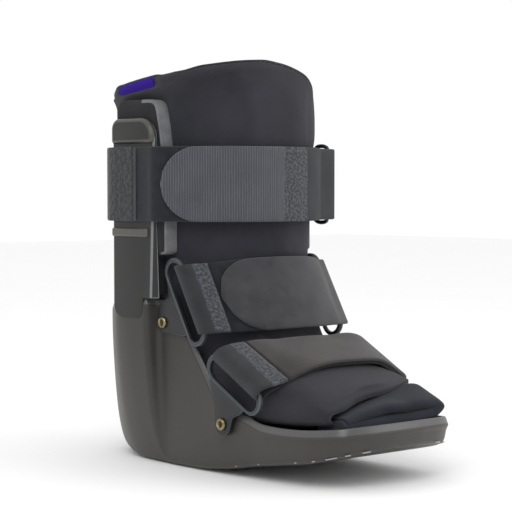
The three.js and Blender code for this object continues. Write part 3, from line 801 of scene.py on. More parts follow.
def add_panel(
    bm: bmesh.types.BMesh,
    side: Side,
    points: Sequence[Pair],
    depth: Pair,
    edge: float,
    shift: dict | None = None,
) -> None:
    """Adds an outlined panel between two distances from the middle, with rounded edges.

    Args:
        bm: the bmesh to add to.
        side: the side of the boot.
        points: the outline, as Y and Z.
        depth: the distances of its inner and outer face.
        edge: the radius of its edges.
        shift: how far some of the outline's points move back on the outer face.
    """
    verts = [bm.verts.new(placed(side.value * depth[0], y, z)) for y, z in points]
    face = bm.faces.new(verts)
    grown = bmesh.ops.extrude_face_region(bm, geom=[face])["geom"]
    outer = [item for item in grown if isinstance(item, bmesh.types.BMVert)]
    bmesh.ops.translate(bm, verts=outer, vec=(side.value * (depth[1] - depth[0]) * MM, 0, 0))
    for number, amount in (shift or {}).items():
        start = verts[number].co
        vert = min(outer, key=lambda item: (item.co.yz - start.yz).length)
        vert.co.y += amount * MM
    faces = list({item for vert in [*verts, *outer] for item in vert.link_faces})
    bmesh.ops.recalc_face_normals(bm, faces=faces)
    own = set(faces)
    sharp = [line for line in bm.edges if line.calc_face_angle(0.0) > 0.6 and own.issuperset(line.link_faces)]
    rounding = {"offset": edge * MM, "offset_type": "OFFSET", "segments": 4, "profile": 0.5}
    bmesh.ops.bevel(bm, geom=sharp, affect="EDGES", material=-1, **rounding)


def arc(middle: Pair, radius: float, start: float, end: float, steps: int = 8) -> list[Pair]:
    """Returns the points of an arc between two angles in degrees."""
    angles = [math.radians(mix(start, end, i / steps)) for i in range(steps + 1)]
    return [(middle[0] + radius * math.cos(a), middle[1] + radius * math.sin(a)) for a in angles]


def paint_edge_highlights(piece: bpy.types.Object, narrow: float, low: float = 0.0, behind: float = 200.0) -> None:
    """Gives the narrow rounded edges of a side panel the second finish, a paler plastic that is a painted
    highlight.

    Args:
        piece: the piece.
        narrow: the widest face that counts as an edge, in millimetres.
        low: the height above which edges change.
        behind: the Y in front of which edges change.
    """
    mesh = piece.data
    for face in mesh.polygons:
        corners = [mesh.vertices[i].co for i in face.vertices]
        sides = [(a - b).length / MM for a, b in zip(corners, [*corners[1:], corners[0]])]
        middle = (face.center - ORIGIN) / MM
        is_edge = len(sides) == 4 and min(sides) < narrow and abs(face.normal.x) > 0.04
        if is_edge and middle.z > low and middle.y < behind:
            face.material_index = 1


def edge_lines(length: float, edge: Sequence[float], step: float) -> list[float]:
    """Places lines over a length: fixed distances from both ends, and even steps between.

    Args:
        length: the whole length.
        edge: rising distances from each end.
        step: the step between.

    Returns:
        The places of the lines, from 0 to the length.
    """
    inner = length - 2 * edge[-1]
    count = max(round(inner / step), 1)
    middle = [edge[-1] + inner * i / count for i in range(1, count)]
    return [*edge, *middle, *[length - place for place in reversed(edge)]]


# Cloth simulation


@dataclass
class Swelling:
    """Pumps a soft piece up a little with cloth pressure and keeps it clear of its neighbours."""

    pressure: float = 4.0
    most: float = 0.0025
    keep: float = 0.00025
    last_frame: int = 20
    stiffness: float = 20.0

    def room(self, own_nodes: Sequence[str]) -> BVHTree:
        """Collects the surfaces of the other solids.

        Args:
            own_nodes: the solids that are left out.

        Returns:
            A tree of their faces.
        """
        points, faces = [], []
        for name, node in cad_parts.items():
            if name in own_nodes:
                continue
            first = len(points)
            points.extend(vert.co.copy() for vert in node.data.vertices)
            faces.extend([first + i for i in face.vertices] for face in node.data.polygons)
        return BVHTree.FromPolygons(points, faces)

    def apply(self, piece: bpy.types.Object, *own_nodes: str) -> None:
        """Runs the simulation and moves the piece's points as far as there is room.

        Args:
            piece: a closed mesh.
            own_nodes: the solids that the piece stands for.
        """
        before = [vert.co.copy() for vert in piece.data.vertices]
        modifier = piece.modifiers.new("pressure", "CLOTH")
        settings = modifier.settings
        settings.quality = 5
        settings.mass = 0.3
        settings.tension_stiffness = self.stiffness
        settings.compression_stiffness = self.stiffness
        settings.bending_stiffness = 1.0
        settings.use_pressure = True
        settings.uniform_pressure_force = self.pressure
        settings.effector_weights.gravity = 0.0
        modifier.collision_settings.use_collision = False
        modifier.point_cache.frame_start = 1
        modifier.point_cache.frame_end = self.last_frame
        scene = bpy.context.scene
        for number in range(1, self.last_frame + 1):
            scene.frame_set(number)
        swollen = piece.evaluated_get(bpy.context.evaluated_depsgraph_get()).to_mesh()
        moves = [after.co - start for after, start in zip(swollen.vertices, before)]
        piece.modifiers.remove(modifier)
        scene.frame_set(1)
        others = self.room(own_nodes)
        for vert, start, move in zip(piece.data.vertices, before, moves):
            clear = others.find_nearest(start)[3]
            reach = min(max(clear - self.keep, 0.0) * 0.75, self.most)
            length = move.length
            vert.co = start + move * (min(length, reach) / length if length > 1e-9 else 0.0)
        piece.data.update()


# Hard shell


class ShellRow(NamedTuple):
    """A place along half of the shell's outline, in millimetres."""

    wall_x: float
    wall_y: float
    sole_x: float
    sole_y: float
    underside: float
    rim: float


LevelHeight = Callable[[ShellRow, float], float]
SHELL_ROWS = np.array(
    [
        # wall x, wall y, sole x, sole y, underside, rim
        (9, 129.5, 8, 127.5, 11, 106),
        (24, 125.7, 20, 124, 10.5, 106),
        (36, 118, 31, 116.5, 9.5, 106),
        (46.8, 108.8, 40, 107, 7.5, 106),
        (55.8, 98, 47, 95, 4.5, 106),
        (62.6, 87.4, 51.5, 82, 1.4, 106.5),
        (67, 77, 54, 69, 0, 109),
        (68.6, 62, 55.5, 55, 0, 111),
        (68.6, 45.5, 56.5, 40, 0, 111),
        (59, 41.5, 57, 35, 0, 110),
        (58.6, 26, 57.3, 20, 0, 105),
        (58.5, 16, 57.6, 10, 0.2, 92),
        (58.5, -1, 58, -4, 1.2, 70),
        (59.2, -19, 58, -20, 3, 47),
        (59.6, -32, 58, -33, 5.2, 43.5),
        (59.8, -46, 58, -46, 7.7, 40.5),
        (60, -60, 58, -60, 9.8, 36.6),
        (59.2, -79, 57.5, -78, 12.4, 36),
        (57.5, -96, 56, -95, 14.9, 36.6),
        (53, -109, 51.5, -107.5, 17.4, 37.6),
        (46, -120.5, 45, -118.5, 20.2, 38.8),
        (31, -127, 30.5, -125, 22.2, 39.8),
        (10, -130.5, 10, -128.5, 23.4, 40.4),
    ],
    float,
)
# Y and height of the foot bed
BED_ROWS = ((-130, 36), (-95, 32.2), (-60, 29), (-20, 26.3), (60, 25.5), (130, 25.5))


def shell_row(place: float) -> ShellRow:
    """Returns the shell's row at a place, with a fraction."""
    return ShellRow(*steady_row(SHELL_ROWS, place))


@dataclass
class BootShell:
    """The rocker sole, side walls and heel counter with the two uprights."""

    wall: float = 3.2
    side: float = 17.0
    per_row: int = 3
    rim_band: float = 5.2
    front: float = 35.0
    rear: float = 79.0
    inside: float = 65.4
    outside: float = 69.0
    ledge: float = 110.5
    tongue: float = 96.5
    top: float = 229.5
    channel_bottom: float = 157.0
    channel_top: float = 212.5
    lip: float = 6.0
    proud: float = 2.0
    chamfer: Sequence[float] = (1.8, 5.4)
    blade_edge: float = 1.05
    head_radius: float = 13.0
    head_edge: float = 2.6
    lip_edge: float = 1.5
    rib_width: float = 0.7
    rib_inset: float = 1.3
    rib_height: float = 2.0
    ribs: Sequence[Pair] = (
        # row of the shell, length
        (14.0, 1.2),
        (15.6, 1.2),
        (17.5, 1.4),
        (18.4, 2.0),
        (19.3, 7.5),
        (20.1, 3.5),
        (20.85, 5.5),
    )

    def bed(self, y: float) -> float:
        """Returns the height of the foot bed."""
        return float(np.interp(y, *zip(*BED_ROWS)))

    def stations(self) -> list[ShellRow]:
        """Returns the rows of the half outline, with rows between them."""
        count = (len(SHELL_ROWS) - 1) * self.per_row
        return [shell_row(i / self.per_row) for i in range(count + 1)]

    def ring(self, lean: float, inset: float, height: LevelHeight, squeeze: float = 1.0) -> list[Vector]:
        """Makes one level of the shell.

        Args:
            lean: from the sole's outline at 0 to the wall's at 1.
            inset: how far it lies inside.
            height: the height at a row and a place along the boot.
            squeeze: the share of the width that is kept.

        Returns:
            The points of a half turn and of its mirror image.
        """
        rows = self.stations()
        spots = [(mix(row.sole_x, row.wall_x, lean), mix(row.sole_y, row.wall_y, lean)) for row in rows]
        half = []
        for i, row in enumerate(rows):
            before, after = spots[max(i - 1, 0)], spots[min(i + 1, len(spots) - 1)]
            step = Vector((after[0] - before[0], after[1] - before[1])).normalized()
            x = (spots[i][0] + step.y * inset) * squeeze
            y = spots[i][1] - step.x * inset
            half.append((x, y, height(row, y)))
        return [placed(*p) for p in half] + [placed(-x, y, z) for x, y, z in reversed(half)]

    def body(self) -> bmesh.types.BMesh:
        """Builds the sole and walls as one closed shape.

        Returns:
            The shape.
        """

        def wall_height(row: ShellRow, share: float) -> float:
            """Returns a height between the sole's side and the rim's band."""
            start = min(row.underside + self.side, row.rim - self.rim_band - 2.5)
            return mix(start, row.rim - self.rim_band, share)

        def inner(row: ShellRow, y: float) -> float:
            """Returns the height where the wall meets the bed."""
            return max(wall_height(row, 0.35), self.bed(y) + 2)

        wall = self.wall
        levels = [
            self.ring(0, 9, lambda row, y: row.underside, 0.0),
            self.ring(0, 9, lambda row, y: row.underside, 0.5),
            self.ring(0, 9, lambda row, y: row.underside),
            self.ring(0, 4.5, lambda row, y: row.underside + 0.3),
            self.ring(0, 2.0, lambda row, y: row.underside + 1.4),
            self.ring(0, 0.5, lambda row, y: row.underside + 3.2),
            self.ring(0.05, 0, lambda row, y: row.underside + 5.5),
            self.ring(0.45, 0, lambda row, y: wall_height(row, 0.0)),
            self.ring(0.8, 0, lambda row, y: wall_height(row, 0.35)),
            self.ring(1, 0, lambda row, y: wall_height(row, 0.8)),
            self.ring(1, 0, lambda row, y: row.rim - self.rim_band),
            self.ring(1, 0.15, lambda row, y: row.rim - self.rim_band + 0.5),
            self.ring(1, 1.5, lambda row, y: row.rim - 0.9),
            self.ring(1, 2.0, lambda row, y: row.rim - 0.1),
            self.ring(1, wall - 0.4, lambda row, y: row.rim),
            self.ring(1, wall, lambda row, y: row.rim - 0.9),
            self.ring(0.8, wall, inner),
            self.ring(0.45, wall + 1, lambda row, y: self.bed(y) + 1.8),
            self.ring(0.45, wall + 4, lambda row, y: self.bed(y)),
            self.ring(0.45, wall + 4, lambda row, y: self.bed(y), 0.5),
            self.ring(0.45, wall + 4, lambda row, y: self.bed(y), 0.0),
        ]
        count = len(levels[0])

        def place(u: float, v: float) -> Vector:
            """Returns the point of a level."""
            return levels[int(v)][int(u) % count].copy()

        def zone(_: float, v: float) -> int:
            """Returns 1 on the rim's band, which takes a paler finish as a painted highlight."""
            return int(10.8 < v < 15)

        return closed(Surface(range(count + 1), range(len(levels)), place, zone=zone).build())

    def head_outline(self, top: float) -> list[Pair]:
        """Works out the rounded top of the upright's outline.

        Args:
            top: the height of the top.

        Returns:
            The points from the rear to the front, as Y and Z.
        """
        radius = self.head_radius
        back = arc((self.rear - 7, top - 7), 7, 0, 90)
        return [*back, *arc((self.front + radius, top - radius), radius, 90, 180)]

    def blade_outline(self) -> list[Pair]:
        """Works out the blade's outline, from the ledge at the shell round the tongue to the head.

        Returns:
            The points, as Y and Z.
        """
        tongue = arc((54.5, self.tongue + 7), 7, 180, 270)
        tongue += arc((self.rear - 9, self.tongue + 9), 9, 270, 360)
        front = [(self.front + 0.2, self.channel_bottom - 2), (self.front - 1.8, self.ledge)]
        return [*front, (47.5, self.ledge), *tongue, *self.head_outline(self.top - 1)]

    def panels(
        self,
        outline: list[Pair],
        depth: Pair,
        edge: float,
        shift: dict | None = None,
    ) -> bmesh.types.BMesh:
        """Makes the same panel on both sides.

        Args:
            outline: its points, as Y and Z.
            depth: the distances of its inner and outer face from the middle.
            edge: the radius of its edges.
            shift: how far some points move back on the outer face.

        Returns:
            The two panels.
        """
        bm = bmesh.new()
        for side in Side:
            add_panel(bm, side, outline, depth, edge, shift)
        return bm

    def build_uprights(self) -> None:
        """Builds and dresses the blades, their heads and their lips."""
        shift = dict(enumerate(self.chamfer))
        blade = self.panels(self.blade_outline(), (self.inside, self.outside), self.blade_edge, shift)
        blades = new_piece("shell_uprights", blade, [UPRIGHT_PLASTIC, EDGE_HIGHLIGHT_PLASTIC])
        # Painted highlight: the blades' narrow rounded front edges take the pale finish.
        paint_edge_highlights(blades, 0.62, self.ledge + 0.6, self.front + 7)
        low = self.channel_top
        outline = [(self.front, low), (self.rear, low), *self.head_outline(self.top)]
        head = self.panels(outline, (self.inside + 0.2, self.outside + self.proud), self.head_edge)
        heads = new_piece("upright_heads", head, [UPRIGHT_PLASTIC, HEAD_HIGHLIGHT_PLASTIC])
        # Painted highlight: the heads' rounded edges take the paler finish.
        paint_edge_highlights(heads, 1.6)
        low, high, ahead = self.channel_bottom - self.lip, self.channel_bottom, self.front + 6
        outline = [(ahead, low), (self.rear, low), (self.rear, high), (ahead, high)]
        lip = self.panels(outline, (self.inside + 1, self.outside + 1.6), self.lip_edge)
        # Painted light: the whole lip takes the paler copy of the upright's plastic.
        lips = new_piece("upright_lips", lip, [LIT_LIP_PLASTIC])
        for piece in (blades, heads, lips):
            piece.data.set_sharp_from_angle(angle=SHARP)
            settle(piece, Slot.SHELL, "boot_shell")

    def dashes(self) -> bmesh.types.BMesh:
        """Makes the short ribs along the tread's edge beside the toe.

        Returns:
            The ribs of both sides.
        """
        bm = bmesh.new()
        for place, length in self.ribs:
            here, ahead = shell_row(place), shell_row(place + 0.1)
            for side in Side:
                step_x, step_y = ahead.sole_x - here.sole_x, ahead.sole_y - here.sole_y
                way = Vector((side.value * step_x, step_y, ahead.underside - here.underside)).normalized()
                turn = way.to_track_quat("Y", "Z").to_matrix().to_4x4()
                size = Matrix.Diagonal((self.rib_width * MM, length * MM, self.rib_width * MM, 1.0))
                x = side.value * (here.sole_x - self.rib_inset)
                middle = placed(x, here.sole_y, here.underside + self.rib_height)
                bmesh.ops.create_cube(bm, size=1.0, matrix=Matrix.Translation(middle) @ turn @ size)
        return bm

    def build(self) -> None:
        """Builds and dresses the shell."""
        body = new_piece("shell_body", self.body(), [SHELL_PLASTIC, RIM_HIGHLIGHT_PLASTIC])
        subdivide(body, 2)
        settle(body, Slot.SHELL, "boot_shell")
        self.build_uprights()
        # The tread ribs take the pale finish, a painted highlight.
        settle(new_piece("tread_ribs", self.dashes(), [EDGE_HIGHLIGHT_PLASTIC], smooth=False), Slot.SHELL)


# Cloth boot

BOOT_SECTIONS = np.array(
    [
        # front y, front z, back y, back z, half width, squareness
        (-11, 268, 127, 248.5, 58.5, 2.4),
        (-14, 262, 129, 243.5, 60.5, 2.4),
        (-15, 255.5, 129.5, 240, 59, 2.4),
        (-15.5, 244, 129.5, 230, 55.4, 2.5),
        (-15, 215, 128, 205, 55.6, 2.5),
        (-12.5, 180, 126, 175, 55.6, 2.5),
        (-9.5, 150, 124, 148, 55.4, 2.5),
        (-10.5, 126, 122.5, 115, 54.6, 2.5),
        (-16.5, 106, 121, 84, 54.1, 2.5),
        (-24, 92, 117, 56, 53.6, 2.6),
        (-31, 82, 104, 33, 53.5, 2.8),
        (-40, 77.6, 76, 26.5, 53, 3),
        (-54, 73.6, 34, 26.8, 53, 3.2),
        (-72, 68.6, -14, 28, 53.5, 3.2),
        (-89, 62.5, -54, 30.4, 53.5, 3.2),
        (-103, 56, -86, 33.2, 52.5, 3.2),
        (-113, 49, -108, 35.8, 47, 3),
    ],
    float,
)


def boot_point(place: float, degrees: float, inset: float) -> Vector:
    """Finds a point of the cloth boot.

    Args:
        place: the section, from 0 at the leg's top to 16 at the toe.
        degrees: the angle round it, 0 at the front, 90 towards +X and 180 at the back.
        inset: how far it lies inside, in millimetres.

    Returns:
        The point in the part's frame.
    """
    front_y, front_z, back_y, back_z, half, square = smooth_row(BOOT_SECTIONS, place)
    angle = math.radians(degrees)
    power = 2 / square
    along = math.copysign(abs(math.cos(angle)) ** power, math.cos(angle))
    across = math.copysign(abs(math.sin(angle)) ** power, math.sin(angle))
    reach_y, reach_z = (front_y - back_y) / 2, (front_z - back_z) / 2
    reach = math.hypot(reach_y, reach_z)
    kept = (reach - inset) / reach
    return placed(
        (half - inset) * across,
        (front_y + back_y) / 2 + reach_y * kept * along,
        (front_z + back_z) / 2 + reach_z * kept * along,
    )


@dataclass
class FrontFlap:
    """The padded flap that closes the cloth boot from the leg's top to the toe."""

    thickness: float = 4.2
    near_leg: float = -124.0
    near_foot: float = -129.0
    far_leg: float = 60.0
    far_foot: float = 72.0
    corner: float = 68.0
    corner_drop: float = 4.0
    near_drop: float = 0.25
    toe_near: float = 15.75
    toe_far: float = 14.05
    hem: float = 7.5
    width: float = 178.0
    length: float = 330.0
    creases: Sequence[tuple[float, float, float, float, float]] = (
        # place over the width, sway, start and end along the length, depth
        (146.0, 3.0, 12.0, 104.0, 0.9),
        (156.0, 2.0, 46.0, 120.0, 0.7),
        (118.0, 5.0, 118.0, 160.0, 0.7),
        (62.0, 4.0, 120.0, 158.0, 0.6),
        (96.0, 6.0, 178.0, 214.0, 0.8),
    )

    def edges(self, place: float) -> Pair:
        """Returns the angles of the two long edges at a section."""
        on_foot = ease(place, 9, 12.5)
        return mix(self.near_leg, self.near_foot, on_foot), mix(self.far_leg, self.far_foot, on_foot)

    def limits(self, share: float) -> Pair:
        """Finds where the flap starts and ends.

        Args:
            share: the share of the width.

        Returns:
            The first and the last section.
        """
        degrees = mix(self.near_leg, self.far_leg, share)
        into_corner = max(0.0, (degrees - (self.far_leg - self.corner)) / self.corner)
        step = self.near_drop * (1 - ease(degrees, -66, -50))
        toe = mix(self.toe_near, self.toe_far, ease(share, 0.35, 1))
        return 0.02 + step + self.corner_drop * into_corner**1.15, toe

    def relief(self, u: float, v: float) -> float:
        """Works out how far the surface stands out from the middle layer.

        Args:
            u: the place over the flat cloth's width.
            v: the place along it.

        Returns:
            The height in millimetres.
        """
        left, right = u, self.width - u
        above, below = v, self.length - v
        half = self.thickness / 2
        edge = min(left, right, above, below)
        rounding = half * math.sqrt(max(0.0, 1 - (1 - min(edge / half, 1.0)) ** 2))
        lines = [d for d in (above, right) if d < 2 * self.hem]
        sewn = max((bump(d, self.hem, 0.9) for d in lines), default=0.0)
        return rounding - 0.75 * sewn - self.crease(u, v)

    def crease(self, u: float, v: float) -> float:
        """Works out the depth of the soft creases.

        Args:
            u: the place over the flat cloth's width.
            v: the place along it.

        Returns:
            The depth in millimetres.
        """
        depth = 0.0
        for middle, sway, start, end, deepest in self.creases:
            line = middle + sway * math.sin(v / 17.0 + middle)
            depth += deepest * bump(u, line, 2.6) * ease(v, start, start + 14) * ease(v, end, end - 14)
        return depth

    def point(self, u: float, v: float, outward: float) -> Vector:
        """Finds a point of the flap.

        Args:
            u: the place over the flat cloth's width.
            v: the place along it.
            outward: 1 for the outer face and -1 for the inner one.

        Returns:
            The point in the part's frame.
        """
        share = u / self.width
        start, end = self.limits(share)
        place = mix(start, end, v / self.length)
        near, far = self.edges(place)
        half = self.thickness / 2
        return boot_point(place, mix(near, far, share), half - outward * self.relief(u, v))

    def build(self) -> None:
        """Builds and dresses the flap and its stitches."""
        edge = [0.0, 0.15, 0.6, 1.3, 2.1, 3.6, 5.2, 6.4, 7.0, 7.5, 8.0, 8.6, 10.0]
        columns = edge_lines(self.width, edge, 2.6)
        rows = edge_lines(self.length, edge, 3.0)
        outer = Surface(columns, rows, lambda u, v: self.point(u, v, 1.0))
        inner = Surface(columns, rows, lambda u, v: self.point(u, v, -1.0))
        bm = outer.build()
        inner.build(bm)
        flap = new_piece("flap_cloth", closed(bm), [BOOT_CLOTH])
        Swelling(pressure=3.0, most=0.0022).apply(flap, "front_flap")
        subdivide(flap, 1)
        settle(flap, Slot.CLOTH, "front_flap")
        self.stitches()

    def stitches(self) -> None:
        """Adds the thread of the hem along the top and the far edge."""
        bm = bmesh.new()
        spots = [(u, self.hem) for u in np.arange(6.0, self.width - self.hem, 3.1)]
        spots += [(self.width - self.hem, v) for v in np.arange(self.hem, self.length * 0.66, 3.1)]
        for u, v in spots:
            along_top = v == self.hem
            ahead = (u + 1, v) if along_top else (u, v + 1)
            beside = (u, v + 1) if along_top else (u + 1, v)
            here = self.point(u, v, 1.0)
            add_stitch(bm, here, self.point(*ahead, 1.0) - here, self.point(*beside, 1.0) - here)
        piece = new_piece("flap_stitches", bm, [STITCH_THREAD])
        settle(piece, Slot.CLOTH)


def add_stitch(
    bm: bmesh.types.BMesh,
    middle: Vector,
    ahead: Vector,
    beside: Vector,
    length: float = 2.2,
    radius: float = 0.35,
) -> None:
    """Adds one stitch of thread that lies on a surface.

    Args:
        bm: the bmesh to add to.
        middle: the middle of the stitch.
        ahead: the direction of the seam.
        beside: another direction on the surface.
        length: the stitch's length in millimetres.
        radius: the thread's radius in millimetres.
    """
    x = ahead.normalized()
    z = x.cross(beside).normalized()
    y = z.cross(x)
    turn = Matrix((x, y, z)).transposed().to_4x4()
    size = Matrix.Diagonal((length / 2 * MM, radius * MM, radius * MM, 1.0))
    matrix = Matrix.Translation(middle) @ turn @ size
    bmesh.ops.create_uvsphere(bm, u_segments=6, v_segments=4, radius=1.0, matrix=matrix)


@dataclass
class Liner:
    """The padded cloth boot itself, open at the leg and at the toe."""

    flap: FrontFlap
    gap: float = 0.35
    wall: float = 5.0
    sides: int = 112
    rows: int = 74
    rim_steps: int = 6

    def covered(self, place: float, degrees: float) -> float:
        """Returns how far the flap lies over the liner, from 0 to 1."""
        near, far = self.flap.edges(place)
        return ease(degrees, near - 12, near - 3) * ease(degrees, far + 12, far + 3)

    def outer_inset(self, place: float, degrees: float) -> float:
        """Returns how far the outer face lies inside the boot's form."""
        return self.gap + self.covered(place, degrees) * (self.flap.thickness + 0.5)

    def inner_inset(self, place: float, degrees: float) -> float:
        """Returns how far the inner face lies inside the boot's form."""
        return self.gap + self.wall + self.flap.thickness * (0.5 + 0.5 * self.covered(place, degrees))

    def point(self, degrees: float, turn: float) -> Vector:
        """Finds a point of the liner's closed section.

        Args:
            degrees: the angle round the boot.
            turn: 0 to 1 down the outer face, 1 to 2 round the toe's rim, 2 to 3 up the inner
                face and 3 to 4 round the leg's rim.

        Returns:
            The point in the part's frame.
        """
        far_side = ease(degrees, 0, 52) * (1 - ease(degrees, 112, 172))
        start = 0.3 * self.covered(0, degrees) + 2.7 * far_side
        end = mix(13.5, 14.75, ease(abs(degrees), 118, 150))
        side = int(turn)
        part = turn - side
        share = {0: part, 1: 1.0, 2: 1 - part, 3: 0.0}[side]
        rim = math.sin(math.pi * part) if side in (1, 3) else 0.0
        away = {1: 1.0, 3: -1.0}.get(side, 0.0) * rim * 0.28
        round_way = math.cos(math.pi * part) / 2
        depth = {0: 0.0, 1: 0.5 - round_way, 2: 1.0, 3: 0.5 + round_way}[side]
        place = mix(start + 0.28, end - 0.25, share) + away
        outer, inner = self.outer_inset(place, degrees), self.inner_inset(place, degrees)
        hem = bump(share * (end - start) * 16, 9.0, 1.2) * (1 if side == 0 else 0)
        return boot_point(place, degrees, mix(outer, inner, depth) + 0.7 * hem)

    def build(self) -> None:
        """Builds and dresses the liner."""
        rim = [i / self.rim_steps for i in range(self.rim_steps)]
        face = [i / self.rows for i in range(self.rows)]
        turns = [*face, *[1 + r for r in rim], *[2 + f for f in face], *[3 + r for r in rim], 4.0]
        degrees = [-180 + 360 * i / self.sides for i in range(self.sides + 1)]

        def place(angle: float, turn: float) -> Vector:
            """Returns the point, with the last line on the first."""
            return self.point(-180.0 if angle == degrees[-1] else angle, turn % 4)

        def flat(angle: float, turn: float) -> Pair:
            """Returns the place on the flat cloth."""
            return angle / 360 * 0.34, turn * 0.3

        bm = closed(Surface(degrees, turns, place, flat).build())
        liner = new_piece("liner_cloth", bm, [LINER_CLOTH])
        Swelling(pressure=2.5, most=0.0018).apply(liner, "liner")
        subdivide(liner, 1)
        settle(liner, Slot.CLOTH, "liner")


# Straps


def curve_through(points: np.ndarray, per_part: int = 40) -> np.ndarray:
    """Samples a smooth curve through points, with even speed near tight bends.

    Args:
        points: the points, in millimetres.
        per_part: samples between two points.

    Returns:
        The samples in order.
    """
    ends = [2 * points[0] - points[1], *points, 2 * points[-1] - points[-2]]
    samples = []
    for p0, p1, p2, p3 in zip(ends, ends[1:], ends[2:], ends[3:]):
        steps = [max(np.linalg.norm(b - a) ** 0.5, 1e-3) for a, b in ((p0, p1), (p1, p2), (p2, p3))]
        d0, d1, d2 = steps
        slope_in = ((p1 - p0) / d0 - (p2 - p0) / (d0 + d1) + (p2 - p1) / d1) * d1
        slope_out = ((p2 - p1) / d1 - (p3 - p1) / (d1 + d2) + (p3 - p2) / d2) * d1
        for i in range(per_part):
            samples.append(hermite(i / per_part, p1, p2, slope_in, slope_out))
    samples.append(points[-1])
    return np.array(samples)


def chosen_stations(curve: np.ndarray, step: float, turn: float) -> tuple[np.ndarray, np.ndarray]:
    """Keeps the samples that a strip needs: one for each step and each bit of turn.

    Args:
        curve: the samples.
        step: the longest step in millimetres.
        turn: the most turn between two stations in degrees.

    Returns:
        The kept points and their lengths along the curve.
    """
    parts = np.linalg.norm(np.diff(curve, axis=0), axis=1)
    lengths = np.concatenate([[0.0], np.cumsum(parts)])
    ways = np.diff(curve, axis=0) / np.maximum(parts[:, None], 1e-9)
    kept = [0]
    for i in range(1, len(curve) - 1):
        bend = math.degrees(math.acos(float(np.clip(ways[i] @ ways[kept[-1]], -1, 1))))
        gone = lengths[i] - lengths[kept[-1]]
        if gone >= step or (bend >= turn and gone > 0.12):
            kept.append(i)
    if lengths[-1] - lengths[kept[-1]] < step / 3 and len(kept) > 1:
        kept.pop()
    kept.append(len(curve) - 1)
    return curve[kept], lengths[kept]


@dataclass
class Strip:
    """A flat strap along a curve, with rounded edges and ends."""

    name: str
    route: np.ndarray
    across: Callable[[np.ndarray], np.ndarray]
    width: float
    thickness: float = 2.2
    rounded_end: bool = False
    step: float = 2.5
    turn: float = 9.0
    edge_steps: int = 4
    face_steps: int = 14
    zones: Sequence[tuple[float, float, int]] = ()

    def __post_init__(self) -> None:
        """Works out the stations."""
        self.points, self.lengths = chosen_stations(curve_through(self.route), self.step, self.turn)
        self.total = float(self.lengths[-1])

    def half_width(self, length: float) -> float:
        """Works out half the width.

        Args:
            length: the length along the strap.

        Returns:
            Half the width there, less towards a rounded end.
        """
        radius = self.width / 2
        left = self.total - length
        if self.rounded_end and left < radius:
            return math.sqrt(max(radius**2 - (radius - left) ** 2, 4.0))
        return radius

    def frame_at(self, index: int) -> tuple[np.ndarray, np.ndarray, np.ndarray]:
        """Works out the frame of a station.

        Args:
            index: the station.

        Returns:
            The point, the direction of the width and the normal.
        """
        point = self.points[index]
        before, after = self.points[max(index - 1, 0)], self.points[min(index + 1, len(self.points) - 1)]
        wide = np.asarray(self.across(point), float)
        wide = wide / np.linalg.norm(wide)
        normal = np.cross(after - before, wide)
        return point, wide, normal / np.linalg.norm(normal)

    def section(self) -> list[Pair]:
        """Works out the section round the strap.

        Returns:
            Places over the width from -1 to 1, and heights from -1 to 1 that turn round the edges.
        """
        top = [(-1 + 2 * i / self.face_steps, 1.0) for i in range(self.face_steps + 1)]
        low = [(1 - 2 * i / self.face_steps, -1.0) for i in range(self.face_steps + 1)]
        right = [(1.0, math.cos(math.pi * i / self.edge_steps)) for i in range(1, self.edge_steps)]
        left = [(-1.0, -math.cos(math.pi * i / self.edge_steps)) for i in range(1, self.edge_steps)]
        return [*top, *right, *low, *left]

    def rows(self) -> list[tuple[int, float]]:
        """Works out the lines along the strap.

        Returns:
            The station of each line, and how full the section is there.
        """
        last = len(self.points) - 1
        start = [(0, 0.0), (0, 0.55), (0, 0.85)]
        end = [(last, 0.85), (last, 0.55), (last, 0.0)]
        return [*start, *[(i, 1.0) for i in range(last + 1)], *end]

    def build(self, finishes: Sequence[object]) -> bpy.types.Object:
        """Builds the strip.

        Args:
            finishes: the finishes of its zones.

        Returns:
            The new piece.
        """
        section = self.section()
        count = len(section)
        rows = self.rows()
        half_thick = self.thickness / 2
        frames = [self.frame_at(i) for i in range(len(self.points))]

        def place(u: float, v: float) -> Vector:
            """Finds a point of the section.

            Args:
                u: the place round the section.
                v: the line along the strap.

            Returns:
                The point in the part's frame.
            """
            index, full = rows[int(v)]
            point, wide, normal = frames[index]
            length = float(self.lengths[index])
            over, height = section[int(u) % count]
            turned = math.sqrt(max(0.0, 1 - height**2))
            half = self.half_width(length) - half_thick
            spot = point + wide * (over * half + math.copysign(turned * half_thick, over) * full)
            return placed(*(spot + normal * (height * half_thick * full)))

        def flat(u: float, v: float) -> Pair:
            """Finds the place on the flat strap.

            Args:
                u: the place round the section.
                v: the line along the strap.

            Returns:
                The length and the width there, in metres.
            """
            index, _ = rows[int(v)]
            over, _ = section[int(u) % count]
            length = float(self.lengths[index])
            return length * MM, over * self.half_width(length) * MM

        bm = closed(Surface(range(count + 1), range(len(rows)), place, flat).build())
        layer = bm.loops.layers.uv.verify()
        for face in bm.faces:
            middle = sum(loop[layer].uv.x for loop in face.loops) / len(face.loops) / MM
            for low, high, index in self.zones:
                if low <= middle < high:
                    face.material_index = index
        return new_piece(self.name, bm, finishes)

    def lay(self, node: str, finishes: Sequence[object]) -> None:
        """Builds the strip as a strap that is stretched over another piece.

        Args:
            node: the solid that it stands for.
            finishes: the finishes of its zones.
        """
        piece = self.build(finishes)
        settle(piece, Slot.WEBBING, node)


